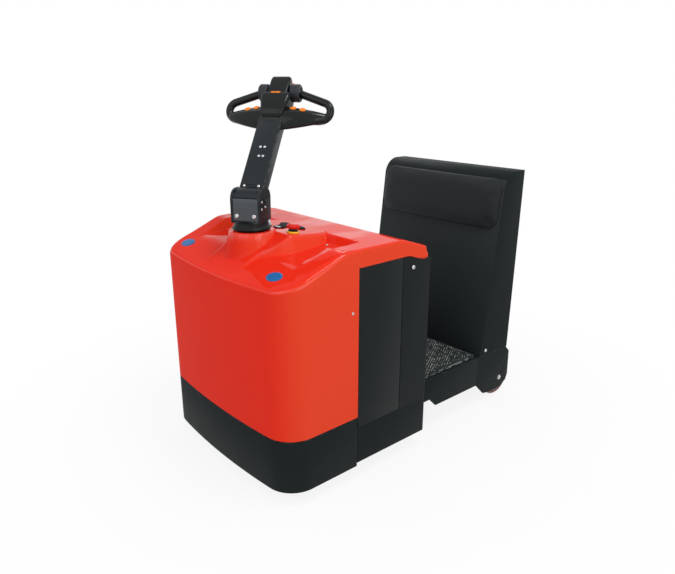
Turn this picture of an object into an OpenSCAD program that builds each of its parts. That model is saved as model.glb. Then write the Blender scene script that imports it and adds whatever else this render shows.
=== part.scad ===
// Stand-on electric tow tractor: hooded drive end, rider's platform, backrest and tow jaw.
// The front faces -Y, +X is the right-hand side to someone who faces the front, and +Z is up.
// Inside the modules y is measured from the front face; on_ground() moves it to the origin.

/* [Body] */
// Width over the hood and the skirt
body_w = 700; // [660:5:760]
// Length from the front face to the rear face of the bulkhead
body_l = 598; // [580:2:640]
// Radius of the two front corners in plan
corner_r = 95; // [70:5:110]
// Radius of the gentle bow across the front face
front_bow_r = 2600; // [2000:100:5000]
// Height of the skirt's lower edge above the floor
skirt_bottom_z = 42; // [36:1:50]
// Height of the seam between skirt and hood
skirt_top_z = 216; // [200:2:230]
// Plate thickness of the skirt
skirt_t = 10; // [8:1:14]
// Distance from the front to the rear end of the skirt and of the hood's flank
flank_y = 290; // [286:2:310]
// Lower edge of the sills along the battery bay
sill_bottom_z = 55; // [48:1:60]
// Lower edge of the battery panels
panel_bottom_z = 180; // [172:2:200]
// Sheet thickness of the battery panels and the bulkhead
panel_t = 6; // [4:1:10]
// Gap around each battery panel
panel_gap = 2; // [1:0.5:4]

/* [Hood] */
// Height of the crease between the front face and the sloping nose
nose_z = 662; // [640:2:680]
// Height of the level top
hood_top_z = 752; // [740:2:780]
// Distance from the front to the rear end of the sloping nose
nose_l = 240; // [230:2:260]
// Distance from the front to the bend where the rear lip starts to fall
bend_y = 474; // [460:2:490]
// Height of the top at the rear end of the lip
lip_top_z = 710; // [704:2:730]
// Lower edge of the lip at the rear
lip_bottom_z = 677; // [660:1:690]
// Radius of the lip's rear end
lip_end_r = 30; // [20:1:32]
// Lower edge of the red band above the battery panels
band_z = 698; // [690:1:704]
// Wall thickness of the moulded hood
hood_wall = 6; // [4:0.5:8]
// Radius along the hood's side edges
hood_edge_r = 26; // [25:1:30]
// Width of the rounded edge on each face
hood_edge_w = 22; // [18:1:22]
// Depth of the two scoops beside the console, at their rear
scoop_depth = 26; // [16:1:36]
// Fall of the scoops' floor towards the front, in degrees
scoop_fall = 4.5; // [2:0.5:6]
// Distance from the front to the rear end of the scoops' floor
scoop_rear_y = 336; // [326:2:344]
// Half width from the centre line to the outer edge of a scoop's floor
scoop_outer_x = 262; // [240:2:270]
// Slant of the scoops' walls, in degrees from upright
scoop_draft = 35; // [20:1:45]

/* [Console] */
// Rise of the pedestal round the steering column above the level top
console_rise = 20; // [14:1:38]
// Radius of the pedestal
pedestal_r = 70; // [66:1:80]
// Rise of the console's desk above the level top, at its highest
desk_rise = 16; // [8:1:20]
// Distance from the front to the desk's highest line
desk_top_y = 209; // [200:1:220]
// Slope of the desk in front of that line, in degrees
desk_slope = 28.5; // [24:0.5:32]
// Half width of the desk at its front
desk_front_w = 88; // [80:1:100]
// Half width of the desk behind its shoulders
console_half_w = 132; // [126:2:150]
// Distance from the front to the start of the desk's shoulders
shoulder_front_y = 122; // [110:2:130]
// Distance from the front to the end of the desk's shoulders
shoulder_rear_y = 186; // [180:2:200]
// Distance from the front to the rear end of the console
console_rear_y = 372; // [360:2:390]
// Half width of the black panel set on the console
insert_half_w = 78; // [60:2:90]
// Length of the black panel along the body
insert_l = 44; // [36:2:56]
// Thickness of the black panel
insert_t = 3; // [2:0.5:5]
// Distance from the console's rear end to the black panel
insert_rear_gap = 40; // [24:1:50]
// Distance from the centre line to the emergency stop
stop_x = 100; // [90:1:106]
// Distance from the front to the emergency stop
stop_y = 252; // [250:1:280]
// Diameter of the emergency stop's mushroom button
stop_d = 44; // [32:1:46]

/* [Steering] */
// Distance from the front to the steering axis
steer_y = 159; // [155:1:175]
// Steering angle at rest, anticlockwise seen from above
steer_angle = 33.5; // [0:0.5:60]
// Radius of the steering column's tube
column_r = 32; // [26:1:36]
// Radial clearance round the column where it passes the console
column_gap = 12; // [8:1:16]
// Radius of the collar's lower rim
collar_r = 60; // [54:1:64]
// Clear height between the console and the collar
collar_gap = 5; // [5:0.5:8]
// Height of the collar
collar_h = 21; // [16:1:26]
// Width over the hinge box
hinge_w = 95; // [90:1:110]
// Cheek thickness of the hinge box
hinge_t = 7; // [5:0.5:9]
// Height of the tiller's pivot above the floor
pivot_z = 862; // [856:1:880]
// Radius of the hinge box's round top
hinge_r = 43; // [40:1:46]
// Radius of the pivot pin
pivot_r = 10; // [8:0.5:12]

/* [Tiller] */
// Lean of the tiller from upright at rest, in degrees
tiller_lean = 42; // [10:1:75]
// Length of the arm from the pivot to its upper end
arm_l = 288; // [270:2:320]
// Depth of the arm
arm_d = 36; // [30:1:42]
// Side clearance of the arm between the hinge cheeks
arm_gap = 0.5; // [0.3:0.1:1]
// Width over the two hand loops
handle_w = 380; // [360:2:420]
// Tube radius of the hand loops
loop_r = 13; // [11:0.5:15]
// Bend radius of the hand loops
loop_bend_r = 30; // [26:1:34]
// Diameter of the two thumb wheels
thumb_d = 58; // [48:1:64]
// Width of each thumb wheel
thumb_w = 33; // [26:1:36]
// Width of the control head
head_w = 76; // [70:1:80]
// Height of the control head along the arm
head_h = 78; // [64:1:84]

/* [Wheels] */
// Diameter of the drive wheel
drive_d = 230; // [220:2:236]
// Width of the drive wheel
drive_w = 75; // [65:1:80]
// Diameter of each rear wheel
rear_d = 152; // [140:2:160]
// Width of each rear wheel
rear_w = 50; // [40:1:56]
// Distance from the front to the rear axle
rear_y = 1106; // [1096:2:1110]
// Thickness of the polyurethane tread on every wheel
tread_t = 14; // [10:1:18]
// Radius of the rear axle bolts
axle_r = 10; // [8:0.5:12]
// Radius of the drive wheel's axle
drive_axle_r = 18; // [14:1:22]
// Radial running clearance of wheels and pivots on their pins
run_gap = 0.05; // [0.02:0.01:0.1]

/* [Platform] */
// Width over the platform and the backrest
deck_w = 604; // [560:4:640]
// Height of the deck plate's top
deck_z = 205; // [196:1:212]
// Thickness of the deck plate
deck_t = 8; // [6:1:10]
// Thickness of the rubber mat
mat_t = 8; // [6:1:10]
// Bare rim of the deck plate round the mat
mat_margin = 14; // [8:1:24]
// Corner radius of the mat
mat_corner_r = 12; // [6:1:20]
// Lower edge of the platform's side plates
deck_bottom_z = 86; // [80:1:96]
// Length of the raised toe at the front of each side plate
toe_l = 88; // [70:2:110]
// Lower edge of the raised toe
toe_z = 120; // [110:1:130]
// Thickness of the side plates and wheel brackets
plate_t = 6; // [5:1:8]
// Distance from the front to the rear end of the platform frame
deck_rear_y = 1140; // [1130:2:1150]
// Distance from the front to the seam before the wheel brackets
bracket_y = 958; // [950:1:966]
// Lower edge of the wheel brackets
bracket_bottom_z = 32; // [26:1:36]

/* [Backrest] */
// Distance from the front to the foot of the backrest's face
back_foot_y = 968; // [962:2:980]
// Lean of the backrest's face from upright, in degrees
back_lean = 6.6; // [5:0.1:8]
// Height of the backrest's top edge
back_top_z = 898; // [880:2:930]
// Radius of the backrest's top front edge
back_top_r = 70; // [50:2:76]
// Sheet thickness of the backrest
back_t = 4; // [3:0.5:6]
// Lower edge of the pad
pad_bottom_z = 688; // [670:2:700]
// Height of the pad
pad_h = 188; // [150:2:190]
// Thickness of the pad
pad_t = 14; // [10:1:24]
// Corner radius of the pad
pad_r = 50; // [40:2:60]
// Bare rim of the backrest at each end of the pad
pad_margin = 12; // [8:1:30]

/* [Battery and tow jaw] */
// Clearance between the battery's ends and the frame plates
battery_end_gap = 12; // [6:1:30]
// Clearance between the battery and the bulkhead
battery_rear_gap = 40; // [10:2:60]
// Distance from the rear end of the hood's flank to the battery's front face
battery_setback = 50; // [40:2:70]
// Height of the battery
battery_h = 480; // [420:5:500]
// Height of the middle of the tow jaw
jaw_z = 152; // [146:1:160]
// Clear height between the jaw's plates
jaw_gap = 56; // [40:1:60]
// Thickness of the jaw's plates
jaw_t = 12; // [10:1:16]
// Width of the jaw
jaw_w = 90; // [70:1:120]
// Distance from the rear frame to the tow pin
jaw_reach = 46; // [36:1:60]
// Radius of the tow pin
tow_pin_r = 11; // [8:0.5:14]

/* [Hidden] */
$fn = 96;
half_w = body_w / 2;
half_deck = deck_w / 2;
// centre of each front corner's arc, tangent to the bow and to the flank
corner_x = half_w - corner_r;
corner_y = front_bow_r - sqrt(pow(front_bow_r - corner_r, 2) - pow(corner_x, 2));
nose_angle = atan((hood_top_z - nose_z) / nose_l);
lip_angle = atan((hood_top_z - lip_top_z) / (body_l - bend_y));
nose_bevel = 12;
scoop_z = hood_top_z - scoop_depth;
console_z = hood_top_z + console_rise;
desk_top_z = hood_top_z + desk_rise;
console_corner_r = 40;
key_x = -44;
key_setback = 30;
stop_stem_h = 12;
stop_head_h = 14;
// the rounded edge is wider along the nose and narrower along the lip
edge_step = 2;
overlap = 1;

// the frame that carries the drive unit
floor_t = 8;
frame_t = 8;
frame_x = half_w - skirt_t - frame_t;
frame_front_y = corner_y + 6;
wheel_well_r = 140;
bridge_z = 272;
bridge_t = 12;
ring_r = 108;
ring_bore_r = 86;
ring_h = 16;
seat_gap = 0.3;
turntable_h = 10;
shaft_low_z = bridge_z - 6;
motor_r = 74;
motor_h = 190;
yoke_gap = 4;
yoke_t = 10;
turntable_z = bridge_z + bridge_t + ring_h;
motor_z = turntable_z + seat_gap + turntable_h;
yoke_z = motor_z + motor_h + yoke_gap;
drive_r = drive_d / 2;
drive_side_gap = 6;
gearcase_t = 44;
gearcase_r = 62;
gearcase_wall = 10;
axle_end = 8;
axle_cap_h = 6;
collar_z = console_z + collar_gap;
collar_rim = 4;
hinge_z = collar_z + collar_h;
arm_w = hinge_w - 2 * hinge_t - 2 * arm_gap;
knuckle_r = hinge_r - 5;

// places along the tiller, from the pivot
wing_low = 266;
wing_high = 352;
wing_tip = 346;
wing_front = -22;
wing_back = 20;
wing_sweep = 38;
wing_edge = 12;
loop_tilt = -20;
loop_y = 33;
loop_z = 350;
thumb_z = 416;
thumb_y = 9;
head_low = 312;
head_front = -32;
head_mid = thumb_z - thumb_d / 2 - 2;
head_back = 26;
head_side = 12;
head_corner_r = 14;
block_corner_r = 8;
block_front = -24;
block_back = 6;
block_side = 3;
horn = [32, 3, 10];
belly_y = 22;
belly_t = 24;
button_r = 9;
button_x = [63, 94];
button_z = 336;

// rear wheel places
rear_r = rear_d / 2;
bracket_gap = 8;
bracket_heel = 56;
bracket_cheek = 22;
bracket_front = 60;
bracket_ease = 6;
bridge_plate_t = 10;
cross_gap = 40;
rail_x = 130;
panel_lip_gap = 20;
panel_lip_h = 12;
wheel_x = half_deck - plate_t - bracket_gap - rear_w / 2;

// backrest outline
back_slope = tan(back_lean);
back_rear_y = deck_rear_y;
// a rounding arc runs this far past the faces it joins, to cross them at a slight angle
arc_lap = 0.4;
back_rear_top_y = deck_rear_y + 18;

jaw_plate_y = deck_rear_y + plate_t;
jaw_end_r = jaw_w / 2;
jaw_flange = 20;
jaw_back_t = 10;
overall_l = jaw_plate_y + jaw_reach + jaw_end_r;

// slope of the console's top behind the desk's highest line
console_pitch = atan((desk_top_z - hood_top_z - overlap) / (console_rear_y + 2 * overlap - desk_top_y));

// the wing's front face and the buttons seated on it
wing_half = handle_w / 2 - 10;
wing_front_r = arc_r(wing_half, wing_sweep);
button_sink = 4;
button_rise = 3;

// centre line of a hand loop in its own plane: x across, y up along the loop
loop_drop = -19;
loop_turn = 150;
loop_tail_l = 44;
bend_c = [handle_w / 2 - loop_r - loop_bend_r, 12];
bend_a = bend_c + loop_bend_r * [-sin(loop_drop), cos(loop_drop)];
bend_b = bend_c + loop_bend_r * [-sin(loop_drop - loop_turn), cos(loop_drop - loop_turn)];
loop_collar_l = 9;
loop_collar_t = 1;
loop_joint = 2;
head_dir = [cos(loop_drop), sin(loop_drop)];
tail_dir = [cos(loop_drop - loop_turn), sin(loop_drop - loop_turn)];
loop_start = bend_a - bend_a.x / head_dir.x * head_dir;
head_end = bend_a - loop_joint * head_dir;
tail_start = bend_b + loop_joint * tail_dir;
loop_tail = bend_b + loop_tail_l * tail_dir;
thumb_x = head_w / 2 + seat_gap;

// Places

module on_ground() {
    translate([0, -overall_l / 2, 0]) children();
}

module at_steering() {
    on_ground() translate([0, steer_y, 0]) rotate([0, 0, steer_angle]) children();
}

module at_tiller() {
    at_steering() translate([0, 0, pivot_z]) rotate([-tiller_lean, 0, 0]) children();
}

// side is 1 on the +X side and -1 on the other
module on_side(side) {
    on_ground() mirror([side < 0 ? 1 : 0, 0, 0]) children();
}

// Shapes used more than once

// extrudes a (y, z) outline across x, centred on x = 0
module across_x(w) {
    rotate([90, 0, 90]) linear_extrude(w, center = true) children();
}

// extrudes a (y, z) outline from x to x + w
module plate_x(x, w) {
    translate([x + w / 2, 0, 0]) across_x(w) children();
}

module rounded_rect(size, r) {
    square([size.x, size.y - 2 * r], center = true);
    square([size.x - 2 * r, size.y], center = true);
    for (sx = [-1, 1], sy = [-1, 1])
        translate([sx * (size.x / 2 - r), sy * (size.y / 2 - r)]) circle(r = r);
}

module rounded_block(size, r) {
    linear_extrude(size.z) rounded_rect([size.x, size.y], r);
}

module ring(r_out, r_in, h) {
    difference() {
        cylinder(r = r_out, h = h);
        translate([0, 0, -overlap]) cylinder(r = r_in, h = h + 2 * overlap);
    }
}

// rod of radius r between two points
module rod(a, b, r) {
    d = b - a;
    l = norm(d);
    translate(a) rotate([0, acos(d.z / l), atan2(d.y, d.x)]) cylinder(r = r, h = l);
}

// plan of the body, drawn in by inset all round the front and the flanks
module body_plan(inset, y_end) {
    bow_x = (front_bow_r - inset) * corner_x / (front_bow_r - corner_r);
    intersection() {
        translate([0, front_bow_r]) circle(r = front_bow_r - inset, $fn = 720);
        translate([-bow_x, -overlap]) square([2 * bow_x, corner_y + 2 * overlap]);
    }
    for (s = [-1, 1]) translate([s * corner_x, corner_y]) circle(r = corner_r - inset);
    translate([-half_w + inset, corner_y]) square([body_w - 2 * inset, y_end - corner_y]);
}

// Chassis

module chassis_frame() {
    inner_rear_y = body_l - panel_t;
    color([0.16, 0.17, 0.17]) on_ground() {
        difference() {
            union() {
                translate([0, 0, sill_bottom_z]) linear_extrude(floor_t)
                    body_plan(skirt_t + seat_gap, inner_rear_y);
                for (s = [-1, 1]) {
                    plate_x(s > 0 ? frame_x : -frame_x - frame_t, frame_t)
                        translate([frame_front_y, sill_bottom_z])
                            square([inner_rear_y - frame_front_y, bridge_z + bridge_t - sill_bottom_z]);
                    plate_x(s > 0 ? frame_x + frame_t : -half_w, skirt_t)
                        translate([flank_y, sill_bottom_z])
                            square([inner_rear_y - flank_y, panel_bottom_z - sill_bottom_z]);
                }
                translate([-frame_x - frame_t, frame_front_y, bridge_z])
                    cube([2 * (frame_x + frame_t), flank_y - frame_front_y, bridge_t]);
            }
            translate([0, steer_y, 0]) {
                translate([0, 0, sill_bottom_z - overlap])
                    cylinder(r = wheel_well_r, h = floor_t + 2 * overlap);
                translate([0, 0, bridge_z - overlap])
                    cylinder(r = ring_bore_r, h = bridge_t + 2 * overlap);
            }
        }
    }
}

module front_skirt() {
    color([0.14, 0.15, 0.16]) on_ground()
        translate([0, 0, skirt_bottom_z]) linear_extrude(skirt_top_z - skirt_bottom_z) difference() {
            body_plan(0, flank_y);
            body_plan(skirt_t, flank_y + overlap);
        }
}

// lower edge of the hood's rear lip at a distance from the front
function lip_edge(y) = band_z - (band_z - lip_bottom_z) * (y - bend_y) / (body_l - bend_y);

// side view of the hood's upper surface, lowered by inset, with a round end on the rear lip
module hood_profile(inset) {
    top = hood_top_z - inset;
    slope = tan(nose_angle);
    bevel_y = max(0, nose_bevel - inset / 2);
    end_r = lip_end_r - inset;
    end = [body_l - lip_end_r, lip_top_z + lip_end_r * tan(lip_angle) - lip_end_r / cos(lip_angle)];
    translate(end) circle(r = end_r);
    polygon([
        [-half_w, 0],
        [-half_w, nose_z - nose_bevel - inset],
        [inset, nose_z - nose_bevel - inset],
        [inset + bevel_y, nose_z - inset + slope * bevel_y],
        [nose_l, top],
        [bend_y, top],
        end + end_r * [sin(lip_angle), cos(lip_angle)],
        end + [end_r, 0],
        [body_l - inset, 0]
    ]);
}

// rounded section across the body, run along the stretch of the top that slopes by angle from y;
// its arcs meet the top and the flanks at a slight angle, w in from the corner
module edge_tunnel(inset, y, angle, w) {
    c = (w + sqrt(2 * pow(hood_edge_r, 2) - pow(w, 2))) / 2;
    translate([0, y, hood_top_z]) rotate([90 + angle, 0, 0]) linear_extrude(4 * body_l, center = true) {
        for (s = [-1, 1]) translate([s * (half_w - c), -c]) circle(r = hood_edge_r - inset);
        translate([-half_w - overlap, -2 * hood_top_z])
            square([body_w + 2 * overlap, 2 * hood_top_z - c]);
        translate([-half_w + c, -2 * hood_top_z])
            square([body_w - 2 * c, 2 * hood_top_z + hood_edge_r]);
    }
}

// plan of the console's desk, drawn in by inset
module console_plan(inset) {
    side_y = console_rear_y - console_corner_r;
    corner_x = console_half_w - console_corner_r;
    for (s = [-1, 1]) translate([s * corner_x, side_y]) circle(r = console_corner_r - inset);
    polygon([
        [-desk_front_w + inset, 0],
        [desk_front_w - inset, 0],
        [desk_front_w - inset, shoulder_front_y],
        [console_half_w - inset, shoulder_rear_y],
        [console_half_w - inset, side_y],
        [-console_half_w + inset, side_y],
        [-console_half_w + inset, shoulder_rear_y],
        [-desk_front_w + inset, shoulder_front_y]
    ]);
    translate([-corner_x, side_y]) square([2 * corner_x, console_corner_r - inset]);
}

// sloping desk, which rises out of the nose and falls to the level top, with the pedestal round the column
module console_block(inset) {
    rear_y = console_rear_y + 2 * overlap;
    low_z = band_z - console_corner_r;
    intersection() {
        translate([0, 0, low_z]) linear_extrude(console_z - low_z) console_plan(inset);
        across_x(body_w) polygon([
            [0, 0],
            [0, desk_top_z - desk_top_y * tan(desk_slope) - inset],
            [desk_top_y, desk_top_z - inset],
            [rear_y, hood_top_z - inset + overlap],
            [rear_y, 0]
        ]);
    }
    translate([0, steer_y, low_z]) cylinder(r = pedestal_r - inset, h = console_z - low_z - inset);
}

// one scoop beside the console on the +X side, lowered and widened by inset for the inner face
module scoop_cutter(inset) {
    floor_z = scoop_z - inset;
    rise = 4 * scoop_depth;
    spread = rise * tan(scoop_draft);
    intersection() {
        translate([0, scoop_rear_y, floor_z]) rotate([scoop_fall, 0, 0]) rotate([90, 0, 0])
            translate([0, 0, -rise]) linear_extrude(scoop_rear_y + rise) polygon([
                [0, 0],
                [scoop_outer_x + inset, 0],
                [scoop_outer_x + inset + spread, rise],
                [0, rise]
            ]);
        across_x(2 * body_w) polygon([
            [0, floor_z - rise],
            [scoop_rear_y + inset, floor_z - rise],
            [scoop_rear_y + inset, floor_z],
            [scoop_rear_y + inset + spread, floor_z + rise],
            [0, floor_z + rise]
        ]);
    }
}

module hood_form(inset) {
    difference() {
        intersection() {
            translate([0, 0, skirt_top_z - 2 * inset])
                linear_extrude(hood_top_z - skirt_top_z + 2 * inset) body_plan(inset, body_l - inset);
            across_x(2 * body_w) hood_profile(inset);
            edge_tunnel(inset, nose_l, nose_angle, hood_edge_w + edge_step);
            edge_tunnel(inset, nose_l, 0, hood_edge_w);
            edge_tunnel(inset, bend_y, -lip_angle, hood_edge_w - edge_step);
        }
        for (s = [0, 1]) mirror([s, 0, 0]) scoop_cutter(inset);
    }
    console_block(inset);
}

module hood() {
    color([0.86, 0.16, 0.12]) on_ground() difference() {
        hood_form(0);
        hood_form(hood_wall);
        translate([0, steer_y, band_z]) cylinder(r = column_r + column_gap, h = console_z);
        // open flanks over the battery panels, with the falling lower edge of the rear lip
        across_x(2 * body_w) polygon([
            [flank_y, 0],
            [flank_y, band_z],
            [bend_y, band_z],
            [body_l + overlap, lip_edge(body_l + overlap)],
            [body_l + overlap, 0]
        ]);
    }
}

// one removable cover over the battery bay, with a stiffening lip along its lower edge
module battery_panel(side) {
    color([0.13, 0.14, 0.15]) on_side(side) {
        plate_x(half_w - panel_t, panel_t) polygon([
            [flank_y + panel_gap, panel_bottom_z],
            [flank_y + panel_gap, band_z - seat_gap],
            [bend_y - panel_gap / 2, band_z - seat_gap],
            [bend_y - panel_gap / 2, panel_bottom_z]
        ]);
        plate_x(half_w - skirt_t, skirt_t - panel_t) translate([flank_y + panel_lip_gap, panel_bottom_z])
            square([bend_y - flank_y - 2 * panel_lip_gap, panel_lip_h]);
    }
}

module bulkhead() {
    post_y = bend_y + panel_gap / 2;
    color([0.13, 0.14, 0.15]) on_ground() {
        for (s = [-1, 1]) plate_x(s > 0 ? half_w - panel_t : -half_w, panel_t) polygon([
            [post_y, panel_bottom_z],
            [post_y, lip_edge(post_y) - seat_gap],
            [body_l, lip_bottom_z - seat_gap],
            [body_l, sill_bottom_z],
            [body_l - panel_t, sill_bottom_z],
            [body_l - panel_t, panel_bottom_z]
        ]);
        translate([-half_w, body_l - panel_t, sill_bottom_z])
            cube([body_w, panel_t, lip_bottom_z - seat_gap - sill_bottom_z]);
    }
}

module battery() {
    l = 2 * (frame_x - battery_end_gap);
    front_y = flank_y + battery_setback;
    rear_y = body_l - panel_t - battery_rear_gap;
    color([0.2, 0.22, 0.25]) on_ground()
        translate([-l / 2, front_y, sill_bottom_z + floor_t]) cube([l, rear_y - front_y, battery_h]);
}

// Platform, backrest and tow jaw

module platform_frame() {
    toe_y = body_l + toe_l;
    chamfer = toe_z - deck_bottom_z;
    cross_half_w = half_deck - plate_t - bracket_gap - rear_w - cross_gap;
    color([0.13, 0.14, 0.15]) on_ground() {
        translate([-half_deck, body_l, deck_z - deck_t]) cube([deck_w, deck_rear_y - body_l, deck_t]);
        for (s = [-1, 1]) plate_x(s > 0 ? half_deck - plate_t : -half_deck, plate_t) polygon([
            [body_l, deck_z - deck_t],
            [body_l, toe_z],
            [toe_y, toe_z],
            [toe_y + chamfer, deck_bottom_z],
            [bracket_y, deck_bottom_z],
            [bracket_y, deck_z - deck_t]
        ]);
        // rear cross plate that carries the tow jaw
        translate([-cross_half_w, deck_rear_y, deck_bottom_z])
            cube([2 * cross_half_w, plate_t, deck_z - deck_bottom_z]);
        // two rails under the deck
        for (s = [-1, 1]) translate([s * rail_x - plate_t / 2, body_l, deck_bottom_z])
            cube([plate_t, deck_rear_y - body_l, deck_z - deck_t - deck_bottom_z]);
    }
}

module platform_mat() {
    mat_l = back_foot_y - body_l - 2 * mat_margin;
    color([0.27, 0.28, 0.29]) on_ground() translate([0, body_l + mat_margin + mat_l / 2, deck_z])
        rounded_block([deck_w - 2 * mat_margin, mat_l, mat_t], mat_corner_r);
}

// leaning front face of the backrest at a height
function back_face(z) = back_foot_y + back_slope * (z - deck_z);

// side view of the backrest, drawn in by inset: a leaning face with a round top edge
module back_profile(inset) {
    arc_z = back_top_z - back_top_r + arc_lap;
    arc_y = back_face(arc_z) + (back_top_r - arc_lap) / cos(back_lean);
    shift = inset / cos(back_lean);
    foot_z = deck_z - inset;
    top_z = back_top_z - inset;
    intersection() {
        polygon([
            [back_face(foot_z) + shift, foot_z],
            [back_face(top_z) + shift, top_z],
            [back_rear_top_y - inset, top_z],
            [back_rear_y - inset, foot_z]
        ]);
        union() {
            translate([arc_y, arc_z]) circle(r = back_top_r - inset);
            square([2 * deck_rear_y, arc_z]);
            translate([arc_y, 0]) square([deck_rear_y, 2 * back_top_z]);
        }
    }
}

module backrest_shell() {
    color([0.12, 0.13, 0.14]) on_ground() difference() {
        across_x(deck_w) back_profile(0);
        across_x(deck_w - 2 * back_t) back_profile(back_t);
    }
}

// follows the leaning face and the start of the round top edge, seen from the front as a rounded rectangle
module backrest_pad() {
    w = deck_w - 2 * pad_margin;
    color([0.1, 0.11, 0.12]) on_ground() intersection() {
        across_x(deck_w) difference() {
            back_profile(-pad_t);
            back_profile(-seat_gap);
        }
        translate([0, back_rear_y - pad_r, pad_bottom_z + pad_h / 2]) rotate([90, 0, 0])
            rounded_block([w, pad_h, back_rear_y - back_foot_y], pad_r);
    }
}

module wheel_bracket(side) {
    out_x = half_deck - plate_t;
    in_x = wheel_x - rear_w / 2 - bracket_gap - plate_t;
    top_z = deck_z - deck_t;
    toe_y = bracket_y + deck_bottom_z - bracket_bottom_z;
    heel_y = rear_y + bracket_heel;
    color([0.13, 0.14, 0.15]) on_side(side) difference() {
        union() {
            plate_x(out_x, plate_t) polygon([
                [bracket_y, top_z],
                [bracket_y, deck_bottom_z],
                [toe_y - bracket_ease, bracket_bottom_z + bracket_ease],
                [toe_y + 4 * bracket_ease, bracket_bottom_z],
                [rear_y + 8, bracket_bottom_z],
                [heel_y - 10, bracket_bottom_z + 20],
                [heel_y, rear_r],
                [heel_y - 2, top_z - 20],
                [heel_y - bracket_cheek, top_z]
            ]);
            plate_x(in_x, plate_t) polygon([
                [rear_y - bracket_front, top_z],
                [rear_y - 2 * bracket_cheek + 4, bracket_bottom_z + 20],
                [rear_y + bracket_cheek, bracket_bottom_z + 20],
                [heel_y - bracket_cheek, top_z]
            ]);
            translate([in_x, rear_y - bracket_front, top_z - bridge_plate_t])
                cube([out_x - in_x + plate_t, bracket_front + bracket_heel - bracket_cheek, bridge_plate_t]);
        }
        translate([in_x - overlap, rear_y, rear_r]) rotate([0, 90, 0])
            cylinder(r = axle_r + run_gap, h = half_deck);
    }
}

module rear_axle(side) {
    out_x = half_deck;
    in_x = wheel_x - rear_w / 2 - bracket_gap - plate_t;
    head_h = 8;
    color([0.55, 0.56, 0.58]) on_side(side) translate([in_x, rear_y, rear_r]) rotate([0, 90, 0]) {
        cylinder(r = axle_r, h = out_x - in_x);
        translate([0, 0, -head_h]) cylinder(r = axle_r + 6, h = head_h);
        translate([0, 0, out_x - in_x]) cylinder(r = axle_r - 2, h = plate_t / 2);
    }
}

// two plates with round ends, carried by an upright back plate
module tow_jaw() {
    inner = jaw_gap / 2;
    color([0.15, 0.16, 0.17]) on_ground() translate([0, jaw_plate_y, jaw_z]) difference() {
        union() {
            for (z = [inner, -inner - jaw_t]) translate([0, 0, z]) {
                translate([-jaw_w / 2, 0, 0]) cube([jaw_w, jaw_reach, jaw_t]);
                translate([0, jaw_reach, 0]) cylinder(r = jaw_end_r, h = jaw_t);
            }
            translate([-jaw_w / 2 - jaw_flange, 0, -inner - jaw_t])
                cube([jaw_w + 2 * jaw_flange, jaw_back_t, jaw_gap + 2 * jaw_t]);
        }
        translate([0, jaw_reach, -inner - jaw_t - overlap])
            cylinder(r = tow_pin_r + seat_gap, h = jaw_gap + 2 * jaw_t + 2 * overlap);
    }
}

// drop pin with a collar and a lifting ring
module tow_pin() {
    inner = jaw_gap / 2;
    collar_t = 6;
    eye_r = 16;
    eye_wire = 4;
    tip = 4;
    color([0.62, 0.63, 0.65]) on_ground() translate([0, jaw_plate_y + jaw_reach, jaw_z]) {
        translate([0, 0, -inner - jaw_t - tip]) cylinder(r = tow_pin_r, h = jaw_gap + 2 * jaw_t + tip);
        translate([0, 0, inner + jaw_t]) cylinder(r = tow_pin_r + collar_t, h = collar_t);
        translate([0, 0, inner + jaw_t + collar_t + eye_r]) rotate([90, 0, 0])
            rotate_extrude() translate([eye_r, 0]) circle(r = eye_wire);
    }
}

// Console pieces

module console_insert() {
    mid_y = console_rear_y - insert_rear_gap - insert_l / 2;
    color([0.07, 0.08, 0.09]) on_ground() intersection() {
        translate([0, mid_y, hood_top_z]) linear_extrude(console_z - hood_top_z + 2 * insert_t)
            rounded_rect([2 * insert_half_w, insert_l], insert_l / 2 - overlap);
        across_x(body_w) polygon([
            [desk_top_y, desk_top_z],
            [console_rear_y + 2 * overlap, hood_top_z + overlap],
            [console_rear_y + 2 * overlap, hood_top_z + overlap + insert_t],
            [desk_top_y, desk_top_z + insert_t]
        ]);
    }
}

// height of the sloping console top at a distance from the front
function console_top(y) = desk_top_z - (y - desk_top_y) * tan(console_pitch);

// seats a piece on the sloping console top
module on_console(x, y) {
    on_ground() translate([x, y, console_top(y)]) rotate([-console_pitch, 0, 0]) children();
}

module key_switch() {
    base = [14, 5];
    barrel = [10, 4];
    bow = [3, 18, 14];
    color([0.6, 0.61, 0.62]) on_console(key_x, steer_y + collar_r + key_setback) {
        cylinder(r = base.x, h = base.y);
        translate([0, 0, base.y]) cylinder(r = barrel.x, h = barrel.y);
        translate([-bow.x / 2, -bow.y / 2, base.y + barrel.y]) cube(bow);
    }
}

module stop_collar() {
    color([0.95, 0.78, 0.1]) on_console(stop_x, stop_y) ring(stop_d / 2 + 6, stop_d / 4 + overlap, 5);
}

module stop_button() {
    stem_r = stop_d / 4;
    r = stop_d / 2;
    top_z = stop_stem_h + stop_head_h;
    color([0.83, 0.08, 0.07]) on_console(stop_x, stop_y) rotate_extrude() polygon([
        [0, 0],
        [stem_r, 0],
        [stem_r, stop_stem_h],
        [r - 3, stop_stem_h + 2],
        [r, stop_stem_h + 5],
        [r, stop_stem_h + 10],
        [r - 4, top_z],
        [stem_r, top_z + 2],
        [0, top_z + 2]
    ]);
}

// Steering and drive

module turntable_ring() {
    color([0.45, 0.46, 0.48]) on_ground() translate([0, steer_y, bridge_z + bridge_t])
        ring(ring_r, ring_bore_r, ring_h);
}

module turntable() {
    color([0.4, 0.41, 0.43]) at_steering() {
        translate([0, 0, shaft_low_z]) cylinder(r = ring_bore_r - seat_gap, h = turntable_z - shaft_low_z);
        translate([0, 0, turntable_z + seat_gap]) cylinder(r = ring_r - 4, h = turntable_h);
        translate([0, 0, turntable_z - overlap]) cylinder(r = ring_bore_r - seat_gap, h = 2 * overlap);
    }
}

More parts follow.
